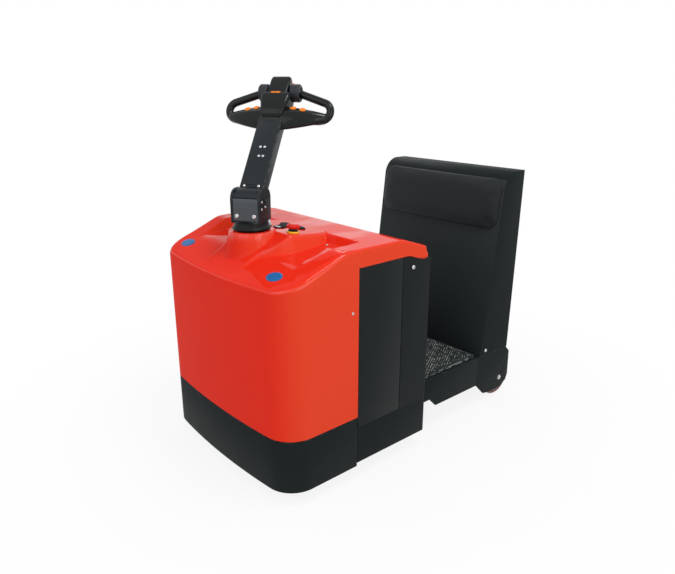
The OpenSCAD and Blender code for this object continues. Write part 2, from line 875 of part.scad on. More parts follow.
// gear case beside the wheel, hung from the turntable by a cap over the wheel
module drive_gearcase() {
    inner_x = drive_w / 2 + drive_side_gap;
    cap_z = drive_d + bracket_gap;
    color([0.36, 0.38, 0.4]) at_steering() difference() {
        union() {
            plate_x(inner_x, gearcase_t) {
                translate([0, drive_r]) circle(r = gearcase_r);
                translate([-gearcase_r, drive_r]) square([2 * gearcase_r, shaft_low_z - drive_r]);
            }
            intersection() {
                translate([0, 0, cap_z]) cylinder(r = ring_bore_r - 2, h = shaft_low_z - cap_z);
                translate([-ring_r, -gearcase_r, cap_z])
                    cube([ring_r + inner_x + gearcase_t, 2 * gearcase_r, bridge_z - cap_z]);
            }
        }
        translate([inner_x - overlap, 0, drive_r]) rotate([0, 90, 0])
            cylinder(r = drive_axle_r + run_gap, h = gearcase_t - gearcase_wall + overlap);
    }
}

module drive_axle() {
    inner_x = drive_w / 2 + drive_side_gap;
    end_x = -drive_w / 2 - axle_end;
    color([0.6, 0.61, 0.63]) at_steering() translate([end_x, 0, drive_r]) rotate([0, 90, 0]) {
        cylinder(r = drive_axle_r, h = inner_x + gearcase_t - gearcase_wall - end_x);
        translate([0, 0, -axle_cap_h]) cylinder(r = drive_axle_r + axle_cap_h, h = axle_cap_h);
    }
}

module drive_motor() {
    fin_n = 24;
    fin_t = 4;
    fin_h = 8;
    cap_h = 26;
    color([0.3, 0.32, 0.34]) at_steering() translate([0, 0, motor_z]) {
        cylinder(r = motor_r - fin_h, h = motor_h);
        translate([0, 0, motor_h - cap_h]) cylinder(r = motor_r, h = cap_h);
        cylinder(r = motor_r, h = cap_h);
        for (i = [0 : fin_n - 1]) rotate([0, 0, i * 360 / fin_n])
            translate([motor_r - fin_h - fin_t, -fin_t / 2, 0]) cube([fin_h + fin_t, fin_t, motor_h]);
    }
}

// yoke over the motor, with the tube that carries the tiller
module steering_column() {
    leg_x = motor_r + 10;
    leg_w = 50;
    foot_z = motor_z;
    color([0.2, 0.21, 0.22]) at_steering() {
        for (s = [-1, 1]) translate([s > 0 ? leg_x : -leg_x - yoke_t, -leg_w / 2, foot_z])
            cube([yoke_t, leg_w, yoke_z + yoke_t - foot_z]);
        translate([-leg_x - yoke_t, -leg_w / 2, yoke_z]) cube([2 * (leg_x + yoke_t), leg_w, yoke_t]);
        translate([0, 0, yoke_z + yoke_t]) cylinder(r = column_r, h = hinge_z - yoke_z - yoke_t);
    }
}

module steering_collar() {
    color([0.12, 0.13, 0.14]) at_steering() translate([0, 0, collar_z]) rotate_extrude() polygon([
        [column_r + seat_gap, 0],
        [collar_r, 0],
        [collar_r, collar_rim],
        [collar_r - 2 * collar_rim, collar_h - collar_rim],
        [collar_r - 2 * collar_rim, collar_h],
        [column_r + seat_gap, collar_h]
    ]);
}

// two cheeks with round tops on a base, closed in front below the knuckle
module hinge_box() {
    base_t = 10;
    front_t = 4;
    front_top = pivot_z + 11;
    color([0.15, 0.17, 0.18]) at_steering() difference() {
        union() {
            for (s = [-1, 1]) plate_x(s > 0 ? hinge_w / 2 - hinge_t : -hinge_w / 2, hinge_t) {
                translate([0, pivot_z]) circle(r = hinge_r);
                translate([-hinge_r, hinge_z]) square([2 * hinge_r, pivot_z - hinge_z]);
            }
            translate([-hinge_w / 2, -hinge_r, hinge_z]) cube([hinge_w, 2 * hinge_r, base_t]);
            translate([-hinge_w / 2 + hinge_t, -hinge_r + 1, hinge_z])
                cube([hinge_w - 2 * hinge_t, front_t - 1, front_top - hinge_z]);
        }
        translate([-hinge_w / 2 - overlap, 0, pivot_z]) rotate([0, 90, 0])
            cylinder(r = pivot_r + run_gap, h = hinge_w + 2 * overlap);
    }
}

module pivot_pin() {
    color([0.55, 0.56, 0.58]) at_steering() translate([-hinge_w / 2, 0, pivot_z]) rotate([0, 90, 0]) {
        cylinder(r = pivot_r, h = hinge_w);
        translate([0, 0, -3]) cylinder(r = pivot_r - 3, h = 3);
        translate([0, 0, hinge_w]) cylinder(r = pivot_r - 3, h = 3);
    }
}

// Tiller, drawn upright from its pivot

module tiller_arm() {
    color([0.15, 0.17, 0.18]) at_tiller() difference() {
        union() {
            translate([-arm_w / 2, 0, 0]) rotate([0, 90, 0]) cylinder(r = knuckle_r, h = arm_w);
            translate([-arm_w / 2, -arm_d / 2, 0]) cube([arm_w, arm_d, arm_l]);
        }
        translate([-arm_w / 2 - overlap, 0, 0]) rotate([0, 90, 0])
            cylinder(r = pivot_r + run_gap, h = arm_w + 2 * overlap);
    }
}

// radius of an arc through the middle at height 0 and both ends at height rise
function arc_r(half, rise) = (half * half + rise * rise) / (2 * rise);

// front face of the wing at a distance from the centre line
function wing_face(x) = wing_front + wing_front_r - sqrt(pow(wing_front_r, 2) - x * x);

// seats a piece on the wing's front face, pointing forward
module on_wing(x) {
    translate([x, wing_face(x) + button_sink, button_z]) rotate([90, 0, 0]) children();
}

// swept-back lens: one arc below, a flatter one above, bent towards the rider
module handle_wing() {
    half = wing_half;
    low_r = arc_r(half, wing_tip - wing_low);
    high_r = arc_r(half, wing_high - wing_tip + wing_edge);
    back_r = arc_r(half, wing_sweep - wing_edge);
    color([0.12, 0.13, 0.14]) at_tiller() difference() {
        intersection() {
            rotate([90, 0, 0]) linear_extrude(handle_w, center = true) intersection() {
                translate([0, wing_low + low_r]) circle(r = low_r);
                translate([0, wing_high - high_r]) circle(r = high_r, $fn = 360);
            }
            translate([0, 0, wing_low - overlap])
                linear_extrude(wing_high - wing_low + 2 * overlap) difference() {
                    translate([0, wing_front + wing_front_r]) circle(r = wing_front_r, $fn = 360);
                    translate([0, wing_back + back_r]) circle(r = back_r, $fn = 360);
                }
        }
        translate([-arm_w / 2, -arm_d / 2, 0]) cube([arm_w, arm_d, arm_l]);
        translate([-head_w / 2 - head_side, head_front, head_low])
            cube([head_w + 2 * head_side, head_back - head_front, handle_w]);
        for (s = [-1, 1], x = button_x) on_wing(s * x) cylinder(r = button_r + seat_gap, h = arm_d);
        loop_tubes(loop_r + seat_gap);
    }
}

// draws both loops from the one on the +X side
module in_loop_plane() {
    for (s = [0, 1]) mirror([s, 0, 0])
        translate([0, loop_y, loop_z]) rotate([90 - loop_tilt, 0, 0]) children();
}

// short grip collar over the joint of a bend and a straight
module loop_collar(at, heading, r) {
    step = loop_collar_l / 2 * [cos(heading), sin(heading), 0];
    rod(at - step, at + step, r + loop_collar_t);
}

// one tube on each side, from the thumb wheel round to the wing's tip
module loop_tubes(r) {
    inner_x = thumb_x + thumb_w + seat_gap;
    in_loop_plane() {
        difference() {
            rod([loop_start.x, loop_start.y, 0], [head_end.x, head_end.y, 0], r);
            translate([inner_x - handle_w, -handle_w, -handle_w]) cube([handle_w, 2 * handle_w, 2 * handle_w]);
        }
        loop_collar([bend_a.x, bend_a.y, 0], loop_drop, r);
        translate([bend_c.x, bend_c.y, 0]) rotate([0, 0, 90 + loop_drop - loop_turn])
            rotate_extrude(angle = loop_turn) translate([loop_bend_r, 0]) circle(r = r);
        loop_collar([bend_b.x, bend_b.y, 0], loop_drop - loop_turn, r);
        rod([tail_start.x, tail_start.y, 0], [loop_tail.x, loop_tail.y, 0], r);
    }
}

module hand_loops() {
    color([0.1, 0.11, 0.12]) at_tiller() loop_tubes(loop_r);
}

// housing over the arm's end, with a ledge for the horn and a raised block behind it
module control_head() {
    house = [head_w + 2 * head_side, head_back - head_front, head_mid - head_low];
    block = [head_w - 2 * block_side, block_back - block_front, head_h];
    color([0.13, 0.14, 0.15]) at_tiller() difference() {
        union() {
            translate([0, (head_front + head_back) / 2, head_low]) rounded_block(house, head_corner_r);
            translate([0, (block_front + block_back) / 2, head_mid]) rounded_block(block, block_corner_r);
        }
        translate([-arm_w / 2, -arm_d / 2, 0]) cube([arm_w, arm_d, arm_l]);
    }
}

module thumb_wheels() {
    rim = 3;
    r = thumb_d / 2;
    color([0.2, 0.21, 0.22]) at_tiller() for (s = [0, 1]) mirror([s, 0, 0])
        translate([thumb_x, thumb_y - 4, thumb_z]) rotate([0, 90, 0]) rotate_extrude() polygon([
            [0, 0],
            [r - rim, 0],
            [r, rim],
            [r, thumb_w - rim],
            [r - rim, thumb_w],
            [0, thumb_w]
        ]);
}

module handle_buttons() {
    color([0.94, 0.52, 0.12]) at_tiller() {
        for (s = [-1, 1], x = button_x) on_wing(s * x) cylinder(r = button_r, h = button_sink + button_rise);
        translate([-horn.x / 2, head_front - horn.y, head_mid - horn.z - 4]) cube(horn);
    }
}

module belly_switch() {
    color([0.82, 0.1, 0.09]) at_tiller()
        translate([0, belly_y, head_mid]) rounded_block([head_w, belly_t, head_h + 6], block_corner_r);
}

// Wheels

module wheel_tyre(d, w) {
    r = d / 2;
    crown = 5;
    rotate([0, 90, 0]) translate([0, 0, -w / 2]) rotate_extrude() polygon([
        [r - tread_t, 0],
        [r - crown, 0],
        [r, crown],
        [r, w - crown],
        [r - crown, w],
        [r - tread_t, w]
    ]);
}

module wheel_hub(d, w, bore_r) {
    r = d / 2 - tread_t;
    dish = w / 5;
    boss_r = bore_r + 12;
    rim = 6;
    rotate([0, 90, 0]) translate([0, 0, -w / 2]) rotate_extrude() polygon([
        [bore_r + run_gap, 0],
        [boss_r, 0],
        [boss_r, dish],
        [r - rim - 2, dish],
        [r - rim, 0],
        [r, 0],
        [r, w],
        [r - rim, w],
        [r - rim - 2, w - dish],
        [boss_r, w - dish],
        [boss_r, w],
        [bore_r + run_gap, w]
    ]);
}

module drive_hub() {
    color([0.5, 0.51, 0.53]) at_steering() translate([0, 0, drive_r])
        wheel_hub(drive_d, drive_w, drive_axle_r);
}

module drive_tyre() {
    color([0.42, 0.2, 0.14]) at_steering() translate([0, 0, drive_r]) wheel_tyre(drive_d, drive_w);
}

module rear_hub(side) {
    color([0.5, 0.51, 0.53]) on_side(side) translate([wheel_x, rear_y, rear_r])
        wheel_hub(rear_d, rear_w, axle_r);
}

module rear_tyre(side) {
    color([0.42, 0.2, 0.14]) on_side(side) translate([wheel_x, rear_y, rear_r]) wheel_tyre(rear_d, rear_w);
}

chassis_frame();
front_skirt();
hood();
battery_panel(1);  // battery_panel_right
battery_panel(-1);  // battery_panel_left
bulkhead();
battery();
platform_frame();
platform_mat();
backrest_shell();
backrest_pad();
wheel_bracket(1);  // wheel_bracket_right
wheel_bracket(-1);  // wheel_bracket_left
rear_axle(1);  // rear_axle_right
rear_axle(-1);  // rear_axle_left
tow_jaw();
tow_pin();
turntable_ring();
console_insert();
key_switch();
stop_collar();
stop_button();
turntable();
drive_gearcase();
drive_axle();
drive_motor();
steering_column();
steering_collar();
hinge_box();
pivot_pin();
tiller_arm();
handle_wing();
hand_loops();
control_head();
thumb_wheels();
handle_buttons();
belly_switch();
drive_hub();
drive_tyre();
rear_hub(1);  // rear_hub_right
rear_tyre(1);  // rear_tyre_right
rear_hub(-1);  // rear_hub_left
rear_tyre(-1);  // rear_tyre_left
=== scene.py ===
"""Looks of a stand-on electric tow tractor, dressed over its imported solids.

Pieces are drawn in millimetres in one of three stations: the vehicle (y from the front face), the steering
unit (about the steering axis) and the tiller (from its pivot, z along the arm).
"""

import logging
import math
from collections.abc import Callable, Iterable, Sequence
from dataclasses import dataclass
from enum import Enum

import bmesh
import bpy
import numpy as np
from mathutils import Matrix, Vector


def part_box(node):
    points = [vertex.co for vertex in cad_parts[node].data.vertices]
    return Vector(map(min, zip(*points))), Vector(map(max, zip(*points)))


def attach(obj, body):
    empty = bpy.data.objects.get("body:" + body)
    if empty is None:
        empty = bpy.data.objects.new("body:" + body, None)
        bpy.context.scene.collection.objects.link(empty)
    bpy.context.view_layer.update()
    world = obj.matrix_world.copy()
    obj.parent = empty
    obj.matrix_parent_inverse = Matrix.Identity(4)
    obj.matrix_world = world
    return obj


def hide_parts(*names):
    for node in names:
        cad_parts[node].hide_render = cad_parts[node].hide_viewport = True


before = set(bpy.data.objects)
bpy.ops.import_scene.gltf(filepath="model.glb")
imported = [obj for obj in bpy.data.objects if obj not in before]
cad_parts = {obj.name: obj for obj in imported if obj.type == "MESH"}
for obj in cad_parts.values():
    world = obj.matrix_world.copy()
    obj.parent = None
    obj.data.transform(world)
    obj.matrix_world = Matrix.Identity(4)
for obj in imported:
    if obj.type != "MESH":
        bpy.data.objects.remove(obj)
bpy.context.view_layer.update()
FRONT_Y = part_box("front_skirt")[0].y
MM = 0.001
TINY = 1e-6
EDGE_LAYER = "edge"
SIDES = (1, -1)
LOG = logging.getLogger("tow_tractor")

Point = tuple[float, float, float]
Spot = tuple[float, float]
Outline = Sequence[Spot]
Colour = tuple[int, int, int]
Array = np.ndarray
Piece = bpy.types.Object
Tree = bpy.types.NodeTree
Node = bpy.types.Node
Socket = bpy.types.NodeSocket


class Body(Enum):
    """Moving bodies of the vehicle."""

    CHASSIS = "chassis"
    STEERING = "steering"
    TILLER = "tiller"
    DRIVE_WHEEL = "drive_wheel"
    REAR_RIGHT = "rear_wheel_right"
    REAR_LEFT = "rear_wheel_left"


class Grain(Enum):
    """Kinds of fine relief, by the name of their node group."""

    FINE = "grain_fine"
    CELLS = "grain_cells"
    BRUSHED = "grain_brushed"


@dataclass(frozen=True)
class Layout:
    """Places and angles that the stations share, in millimetres and degrees."""

    steer_y: float = 159.0
    steer_angle: float = 33.5
    pivot_z: float = 862.0
    tiller_lean: float = 42.0

    def vehicle(self) -> Matrix:
        """Matrix from the vehicle's millimetres to the shared frame."""
        return Matrix.Translation((0.0, FRONT_Y, 0.0)) @ Matrix.Scale(MM, 4)

    def steering(self) -> Matrix:
        """Matrix from the steering unit's millimetres to the shared frame."""
        turn = Matrix.Rotation(math.radians(self.steer_angle), 4, "Z")
        return self.vehicle() @ Matrix.Translation((0.0, self.steer_y, 0.0)) @ turn

    def tiller(self) -> Matrix:
        """Matrix from the tiller's millimetres to the shared frame."""
        lean = Matrix.Rotation(math.radians(-self.tiller_lean), 4, "X")
        return self.steering() @ Matrix.Translation((0.0, 0.0, self.pivot_z)) @ lean


LAYOUT = Layout()
# turns an outline of (y, z) so that it is extruded across x
ACROSS = Matrix(((0, 0, 1, 0), (1, 0, 0, 0), (0, 1, 0, 0), (0, 0, 0, 1)))


def smooth_min(a: Array, b: Array, k: float) -> Array:
    """Lower of two heights, with a soft join of height k."""
    h = np.maximum(k - np.abs(a - b), 0.0) / k
    return np.minimum(a, b) - h * h * k / 4


def smooth_max(a: Array, b: Array, k: float) -> Array:
    """Higher of two heights, with a soft join of height k."""
    return -smooth_min(-a, -b, k)


def smooth_step(t: Array) -> Array:
    """Eased step from 0 to 1."""
    t = np.clip(t, 0.0, 1.0)
    return t * t * (3.0 - 2.0 * t)


def round_turn(steps: int) -> Array:
    """Angles of even steps round a circle."""
    return np.linspace(0, 2 * math.pi, steps, endpoint=False)


def curve(a: Vector, p: Vector, b: Vector, t: float) -> Vector:
    """Point at a share t of the bow from a to b that leans towards p."""
    return a * (1 - t) ** 2 + p * 2 * t * (1 - t) + b * t * t


def outline_distance(x: Array, y: Array, outline: Outline) -> Array:
    """Signed distance to a closed outline.

    Args:
        x: Places across.
        y: Places along.
        outline: Corners of the closed outline.

    Returns:
        Distance for each place, positive inside.
    """
    best = np.full(x.shape, np.inf)
    inside = np.zeros(x.shape, bool)
    for (ax, ay), (bx, by) in zip(outline, [*outline[1:], outline[0]]):
        ex, ey = bx - ax, by - ay
        t = np.clip(((x - ax) * ex + (y - ay) * ey) / (ex * ex + ey * ey), 0.0, 1.0)
        best = np.minimum(best, np.hypot(x - ax - t * ex, y - ay - t * ey))
        if ay != by:
            inside ^= ((ay > y) != (by > y)) & (x < (bx - ax) * (y - ay) / (by - ay) + ax)
    return np.where(inside, best, -best)


def eased_outline(outline: Outline, r: float, closed: bool = True, steps: int = 4, most: float = 0.45) -> list[Spot]:
    """Rounds the corners of an outline.

    Args:
        outline: Corners in order.
        r: Distance from each corner at which its rounding starts.
        closed: Whether the last corner joins the first.
        steps: Segments in each rounding.
        most: Largest share of a side that a rounding takes.

    Returns:
        The eased outline.
    """
    pts = [Vector(p) for p in outline]
    made: list[Spot] = []
    for i, p in enumerate(pts):
        if not closed and i in (0, len(pts) - 1):
            made.append(tuple(p))
            continue
        to_a, to_b = pts[i - 1] - p, pts[(i + 1) % len(pts)] - p
        reach = min(r, to_a.length * most, to_b.length * most)
        a, b = p + to_a.normalized() * reach, p + to_b.normalized() * reach
        made += [tuple(curve(a, p, b, j / steps)) for j in range(steps + 1)]
    return made


def rounded_rect(w: float, h: float, r: float, steps: int = 8) -> list[Spot]:
    """Closed outline of a rectangle with round corners, centred on the origin.

    Args:
        w: Full width.
        h: Full height.
        r: Radius of the corners.
        steps: Segments in each corner.

    Returns:
        The outline.
    """
    made = []
    for k, (sx, sy) in enumerate(((1, 1), (-1, 1), (-1, -1), (1, -1))):
        for j in range(steps + 1):
            a = math.radians(90 * (k + j / steps))
            made.append((sx * (w / 2 - r) + r * math.cos(a), sy * (h / 2 - r) + r * math.sin(a)))
    return made


def spline_ring(points: Outline, count: int) -> Array:
    """Closed smooth curve drawn near control points.

    Args:
        points: Control points in order.
        count: Points of the curve.

    Returns:
        The curve, scaled to fill the square from -1 to 1.
    """
    ctrl = np.array(points, float)
    t = np.arange(count) * len(ctrl) / count
    i = t.astype(int)
    f = (t - i)[:, None]
    shares = ((1 - f) ** 3, 3 * f ** 3 - 6 * f ** 2 + 4, -3 * f ** 3 + 3 * f ** 2 + 3 * f + 1, f ** 3)
    made = sum(share * ctrl[(i + k) % len(ctrl)] for share, k in zip(shares, (-1, 0, 1, 2))) / 6
    low, high = made.min(axis=0), made.max(axis=0)
    return (2 * made - low - high) / (high - low)


def axis_frame(at: Point, direction: Point) -> Matrix:
    """Matrix that puts a local z axis at a place, along a direction."""
    return Matrix.Translation(at) @ Vector(direction).to_track_quat("Z", "Y").to_matrix().to_4x4()


def inward(points: Array, low: Spot, high: Spot) -> Array:
    """Unit directions from points of an outline to the nearest place of a rectangle inside it."""
    aim = np.clip(points[:, :2], low, high) - points[:, :2]
    return aim / np.maximum(np.linalg.norm(aim, axis=1), TINY)[:, None]


class Draft:
    """Mesh of one piece while it is drawn, in a station's millimetres."""

    def __init__(self) -> None:
        """Starts an empty mesh."""
        self.bm = bmesh.new()
        self.edge = self.bm.loops.layers.float.new(EDGE_LAYER)

    def sheet(self, rows: Array, wrap: bool = False) -> list[list[bmesh.types.BMVert]]:
        """Joins a grid of points with faces.

        Args:
            rows: Points as an array of rows, columns and xyz.
            wrap: Whether the last column joins the first.

        Returns:
            The vertices in the same order.
        """
        verts = [[self.bm.verts.new(p) for p in row] for row in np.asarray(rows, float)]
        m = len(verts[0])
        for a, b in zip(verts, verts[1:]):
            for j in range(m if wrap else m - 1):
                self.bm.faces.new((a[j], a[(j + 1) % m], b[(j + 1) % m], b[j]))
        return verts

    def loft(self, rings: Array) -> list[list[bmesh.types.BMVert]]:
        """Skins closed rings of equal counts and caps both ends.

        Args:
            rings: Points as an array of rings, points and xyz.

        Returns:
            The vertices in the same order.
        """
        verts = self.sheet(rings, wrap=True)
        self.bm.faces.new(verts[0][::-1])
        self.bm.faces.new(verts[-1])
        return verts

    def lathe(self, outline: Outline, at: Matrix = Matrix.Identity(4), steps: int = 48,
              flute: Callable[[float, float], float] | None = None) -> None:
        """Turns an outline of radius and height about a local z axis.

        Args:
            outline: Radius and height of each point.
            at: Matrix of the local axis.
            steps: Points round the axis.
            flute: Change of radius by turn from 0 to 1 and by height, for ribs.
        """
        rings = []
        for r, h in outline:
            ring = []
            for j, a in enumerate(round_turn(steps)):
                rr = max(r + (flute(j / steps, h) if flute and r > 0 else 0.0), 0.0)
                ring.append(at @ Vector((rr * math.cos(a), rr * math.sin(a), h)))
            rings.append(ring)
        verts = self.sheet(np.array(rings), wrap=True)
        for ring, (r, _) in zip(verts, outline):
            if r == 0:
                bmesh.ops.pointmerge(self.bm, verts=ring, merge_co=ring[0].co)

    def tube(self, path: Sequence[Point], r: float, steps: int = 20) -> None:
        """Sweeps a round section along a path.

        Args:
            path: Points of the centre line.
            r: Radius of the section.
            steps: Points round the section.
        """
        pts = [Vector(p) for p in path]
        normal = Vector((0, 0, 1))
        rings = []
        for i, p in enumerate(pts):
            along = (pts[min(i + 1, len(pts) - 1)] - pts[max(i - 1, 0)]).normalized()
            normal = (normal - along * normal.dot(along)).normalized()
            side = along.cross(normal)
            rings.append([p + r * (math.cos(a) * normal + math.sin(a) * side) for a in round_turn(steps)])
        self.loft(np.array(rings))

    def prism(self, outline: Outline, low: float, high: float, at: Matrix = Matrix.Identity(4),
              ease: float = 0.0, segments: int = 2) -> None:
        """Extrudes an outline along a local z axis and eases its two rims.

        Args:
            outline: Closed outline across the axis.
            low: Start along the axis.
            high: End along the axis.
            at: Matrix of the local axis.
            ease: Width of the rounding on both rims.
            segments: Segments of the rounding.
        """
        verts = self.loft(np.array([[at @ Vector((x, y, z)) for x, y in outline] for z in (low, high)]))
        if ease:
            rims = [self.bm.edges.get((r[j - 1], r[j])) for r in verts for j in range(len(r))]
            self.ease(rims, ease, segments)

    def block(self, size: Point, centre: Point, ease: float, segments: int = 2) -> None:
        """Adds a box with eased edges.

        Args:
            size: Full width, depth and height.
            centre: Middle of the box.
            ease: Width of the rounding.
            segments: Segments of the rounding.
        """
        at = Matrix.Translation(centre) @ Matrix.Diagonal((*size, 1.0))
        made = bmesh.ops.create_cube(self.bm, size=1.0, matrix=at)
        self.ease(dict.fromkeys(e for v in made["verts"] for e in v.link_edges), ease, segments)

    def ease(self, edges: Iterable[bmesh.types.BMEdge], width: float, segments: int) -> None:
        """Rounds edges and marks the rounding for edge wear.

        Args:
            edges: The edges.
            width: Width of the rounding.
            segments: Segments of the rounding.
        """
        made = bmesh.ops.bevel(self.bm, geom=list(edges), offset=width, offset_type="OFFSET", segments=segments,
                               profile=0.5, affect="EDGES", clamp_overlap=True)
        for face in made["faces"]:
            self.mark(face.loops, 1.0)

    def mark(self, loops: Iterable[bmesh.types.BMLoop], value: float) -> None:
        """Marks corners of faces as edges or crests."""
        for loop in loops:
            loop[self.edge] = value

    def build(self, name: str, at: Matrix | None = None, sharp: float = 40.0, outward: bool = True) -> Piece:
        """Makes the object.

        Args:
            name: Name of the piece.
            at: Station matrix, the vehicle's where it is left out.
            sharp: Angle in degrees above which an edge stays sharp.
            outward: Whether faces are turned outwards.

        Returns:
            The new object, placed in the shared frame.
        """
        bmesh.ops.transform(self.bm, matrix=LAYOUT.vehicle() if at is None else at, verts=self.bm.verts)
        if outward:
            bmesh.ops.recalc_face_normals(self.bm, faces=self.bm.faces)
        mesh = bpy.data.meshes.new(name)
        self.bm.to_mesh(mesh)
        self.bm.free()
        mesh.shade_smooth()
        mesh.set_sharp_from_angle(angle=math.radians(sharp))
        made = bpy.data.objects.new(name, mesh)
        bpy.context.scene.collection.objects.link(made)
        return made


def eased_copy(node: str, ease: float, segments: int = 2, angle: float = 30.0, weld: float = 2e-5,
               flat: float = 0.6) -> Piece:
    """Copies a solid with all its sharp edges rounded.

    Args:
        node: Name of the solid.
        ease: Width of the rounding, in millimetres.
        segments: Segments of the rounding.
        angle: Angle in degrees above which an edge is rounded.
        weld: Distance in metres within which points are joined.
        flat: Angle in degrees below which faces count as one.

    Returns:
        The new object.
    """
    draft = Draft()
    bm = draft.bm
    bm.from_mesh(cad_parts[node].data)
    draft.edge = bm.loops.layers.float.get(EDGE_LAYER) or bm.loops.layers.float.new(EDGE_LAYER)
    bmesh.ops.remove_doubles(bm, verts=bm.verts, dist=weld)
    bmesh.ops.dissolve_limit(bm, angle_limit=math.radians(flat), verts=bm.verts, edges=bm.edges)
    sharp = [e for e in bm.edges if e.is_manifold and e.calc_face_angle(0.0) > math.radians(angle)]
    draft.ease(sharp, ease * MM, segments)
    return draft.build(f"{node}_eased", Matrix.Identity(4), sharp=angle)


def linear(colour: Colour) -> tuple[float, float, float, float]:
    """Turns a display colour from 0 to 255 into a shader colour, by the sRGB curve."""
    return (*(c / 3294.6 if c <= 10 else ((c / 255 + 0.055) / 1.055) ** 2.4 for c in colour), 1.0)


class Effects:
    """Shader node groups that several finishes share."""

    WEAR_FROM = 0.46
    WEAR_GAIN = 9.0
    DUST_SCALE = 22.0
    BRUSH_STRETCH = (0.08, 1.0, 1.0)
    LEVEL_POWER = 40.0
    # streaks of the painted reflection that the coat shows on level faces
    REFLECTION_STREAK_SCALE = 6.0
    REFLECTION_STREAK_STRETCH = (1.9, 0.55, 1.0)
    REFLECTION_STREAK_FROM = 0.46
    REFLECTION_STREAK_GAIN = 9.0
    REFLECTION_STREAK_LEAST = 0.55

    def __init__(self) -> None:
        """Builds every group once."""
        self.groups: dict[str, Tree] = {}
        for build in (self.tone_drift, self.edge_wear, self.floor_dust, self.grain_fine, self.grain_cells,
                      self.grain_brushed, self.coat_with_painted_reflection, self.flank_painted_light):
            build()

    def start(self, name: str, output: str, **inputs: float) -> tuple[Tree, Node, Socket]:
        """Starts a group.

        Args:
            name: Name of the group.
            output: Its number output.
            inputs: Its number inputs with their defaults.

        Returns:
            The tree, its input node and the socket of its output.
        """
        tree = bpy.data.node_groups.new(name, "ShaderNodeTree")
        for key, value in inputs.items():
            tree.interface.new_socket(key, in_out="INPUT", socket_type="NodeSocketFloat").default_value = value
        tree.interface.new_socket(output, in_out="OUTPUT", socket_type="NodeSocketFloat")
        self.groups[name] = tree
        return tree, tree.nodes.new("NodeGroupInput"), tree.nodes.new("NodeGroupOutput").inputs[output]

    @staticmethod
    def feed(tree: Tree, value: Socket | float, socket: Socket) -> None:
        """Links a socket to another, or sets a number on it.

        Args:
            tree: The node tree.
            value: Socket or number that is fed in.
            socket: Socket that takes it.
        """
        if isinstance(value, (int, float)):
            socket.default_value = value
        else:
            tree.links.new(value, socket)

    @staticmethod
    def math(tree: Tree, operation: str, a: Socket | float, b: Socket | float, clamp: bool = False) -> Socket:
        """Adds a math node.

        Args:
            tree: The node tree.
            operation: Name of the operation.
            a: First socket or number.
            b: Second socket or number.
            clamp: Whether the result is kept from 0 to 1.

        Returns:
            The node's output.
        """
        node = tree.nodes.new("ShaderNodeMath")
        node.operation, node.use_clamp = operation, clamp
        for socket, value in zip(node.inputs, (a, b)):
            Effects.feed(tree, value, socket)
        return node.outputs[0]

    @staticmethod
    def noise(tree: Tree, scale: Socket | float, detail: float = 4.0, stretch: Point | None = None) -> Socket:
        """Adds a noise texture in object coordinates.

        Args:
            tree: The node tree.
            scale: Scale of the noise.
            detail: Finer layers of the noise.
            stretch: Scale along each axis.

        Returns:
            The noise's value.
        """
        place = tree.nodes.new("ShaderNodeTexCoord").outputs["Object"]
        if stretch:
            mapping = tree.nodes.new("ShaderNodeMapping")
            mapping.inputs["Scale"].default_value = stretch
            tree.links.new(place, mapping.inputs["Vector"])
            place = mapping.outputs["Vector"]
        node = tree.nodes.new("ShaderNodeTexNoise")
        node.inputs["Detail"].default_value = detail
        tree.links.new(place, node.inputs["Vector"])
        Effects.feed(tree, scale, node.inputs["Scale"])
        return node.outputs["Fac"]

    @staticmethod
    def part(tree: Tree, kind: str, axis: str) -> Socket:
        """Takes one axis of a piece's coordinates.

        Args:
            tree: The node tree.
            kind: Kind of coordinates.
            axis: Name of the axis.

        Returns:
            The axis' value.
        """
        split = tree.nodes.new("ShaderNodeSeparateXYZ")
        tree.links.new(tree.nodes.new("ShaderNodeTexCoord").outputs[kind], split.inputs["Vector"])
        return split.outputs[axis]

    @staticmethod
    def edge_mark(tree: Tree) -> Socket:
        """Reads the mark that a piece carries on its edges and crests.

        Args:
            tree: The node tree.

        Returns:
            The mark, from 0 to 1.
        """
        mark = tree.nodes.new("ShaderNodeAttribute")
        mark.attribute_name = EDGE_LAYER
        return mark.outputs["Fac"]

    def tone_drift(self) -> None:
        """Slow change of tone over a surface, about 0."""
        tree, given, out = self.start("tone_drift", "Drift", Scale=5.0, Amount=0.1)
        centred = self.math(tree, "SUBTRACT", self.noise(tree, given.outputs["Scale"]), 0.5)
        tree.links.new(self.math(tree, "MULTIPLY", centred, given.outputs["Amount"]), out)

    def edge_wear(self) -> None:
        """Broken mask along eased edges."""
        tree, given, out = self.start("edge_wear", "Mask", Amount=0.3, Scale=60.0)
        spots = self.math(tree, "SUBTRACT", self.noise(tree, given.outputs["Scale"], detail=6.0), self.WEAR_FROM)
        broken = self.math(tree, "MULTIPLY", spots, self.WEAR_GAIN, clamp=True)
        mask = self.math(tree, "MULTIPLY", broken, self.edge_mark(tree))
        tree.links.new(self.math(tree, "MULTIPLY", mask, given.outputs["Amount"]), out)

    def floor_dust(self) -> None:
        """Mask of dust that thins out with height above the floor."""
        tree, given, out = self.start("floor_dust", "Mask", Reach=0.25, Amount=0.2)
        low = self.math(tree, "DIVIDE", self.part(tree, "Object", "Z"), given.outputs["Reach"], clamp=True)
        near = self.math(tree, "SUBTRACT", 1.0, low)
        patchy = self.math(tree, "MULTIPLY", near, self.noise(tree, self.DUST_SCALE, detail=5.0))
        tree.links.new(self.math(tree, "MULTIPLY", patchy, given.outputs["Amount"]), out)

    def grain_fine(self) -> None:
        """Height of a fine even grain, such as powder coat or orange peel."""
        tree, given, out = self.start("grain_fine", "Height", Scale=900.0)
        tree.links.new(self.noise(tree, given.outputs["Scale"], detail=3.0), out)

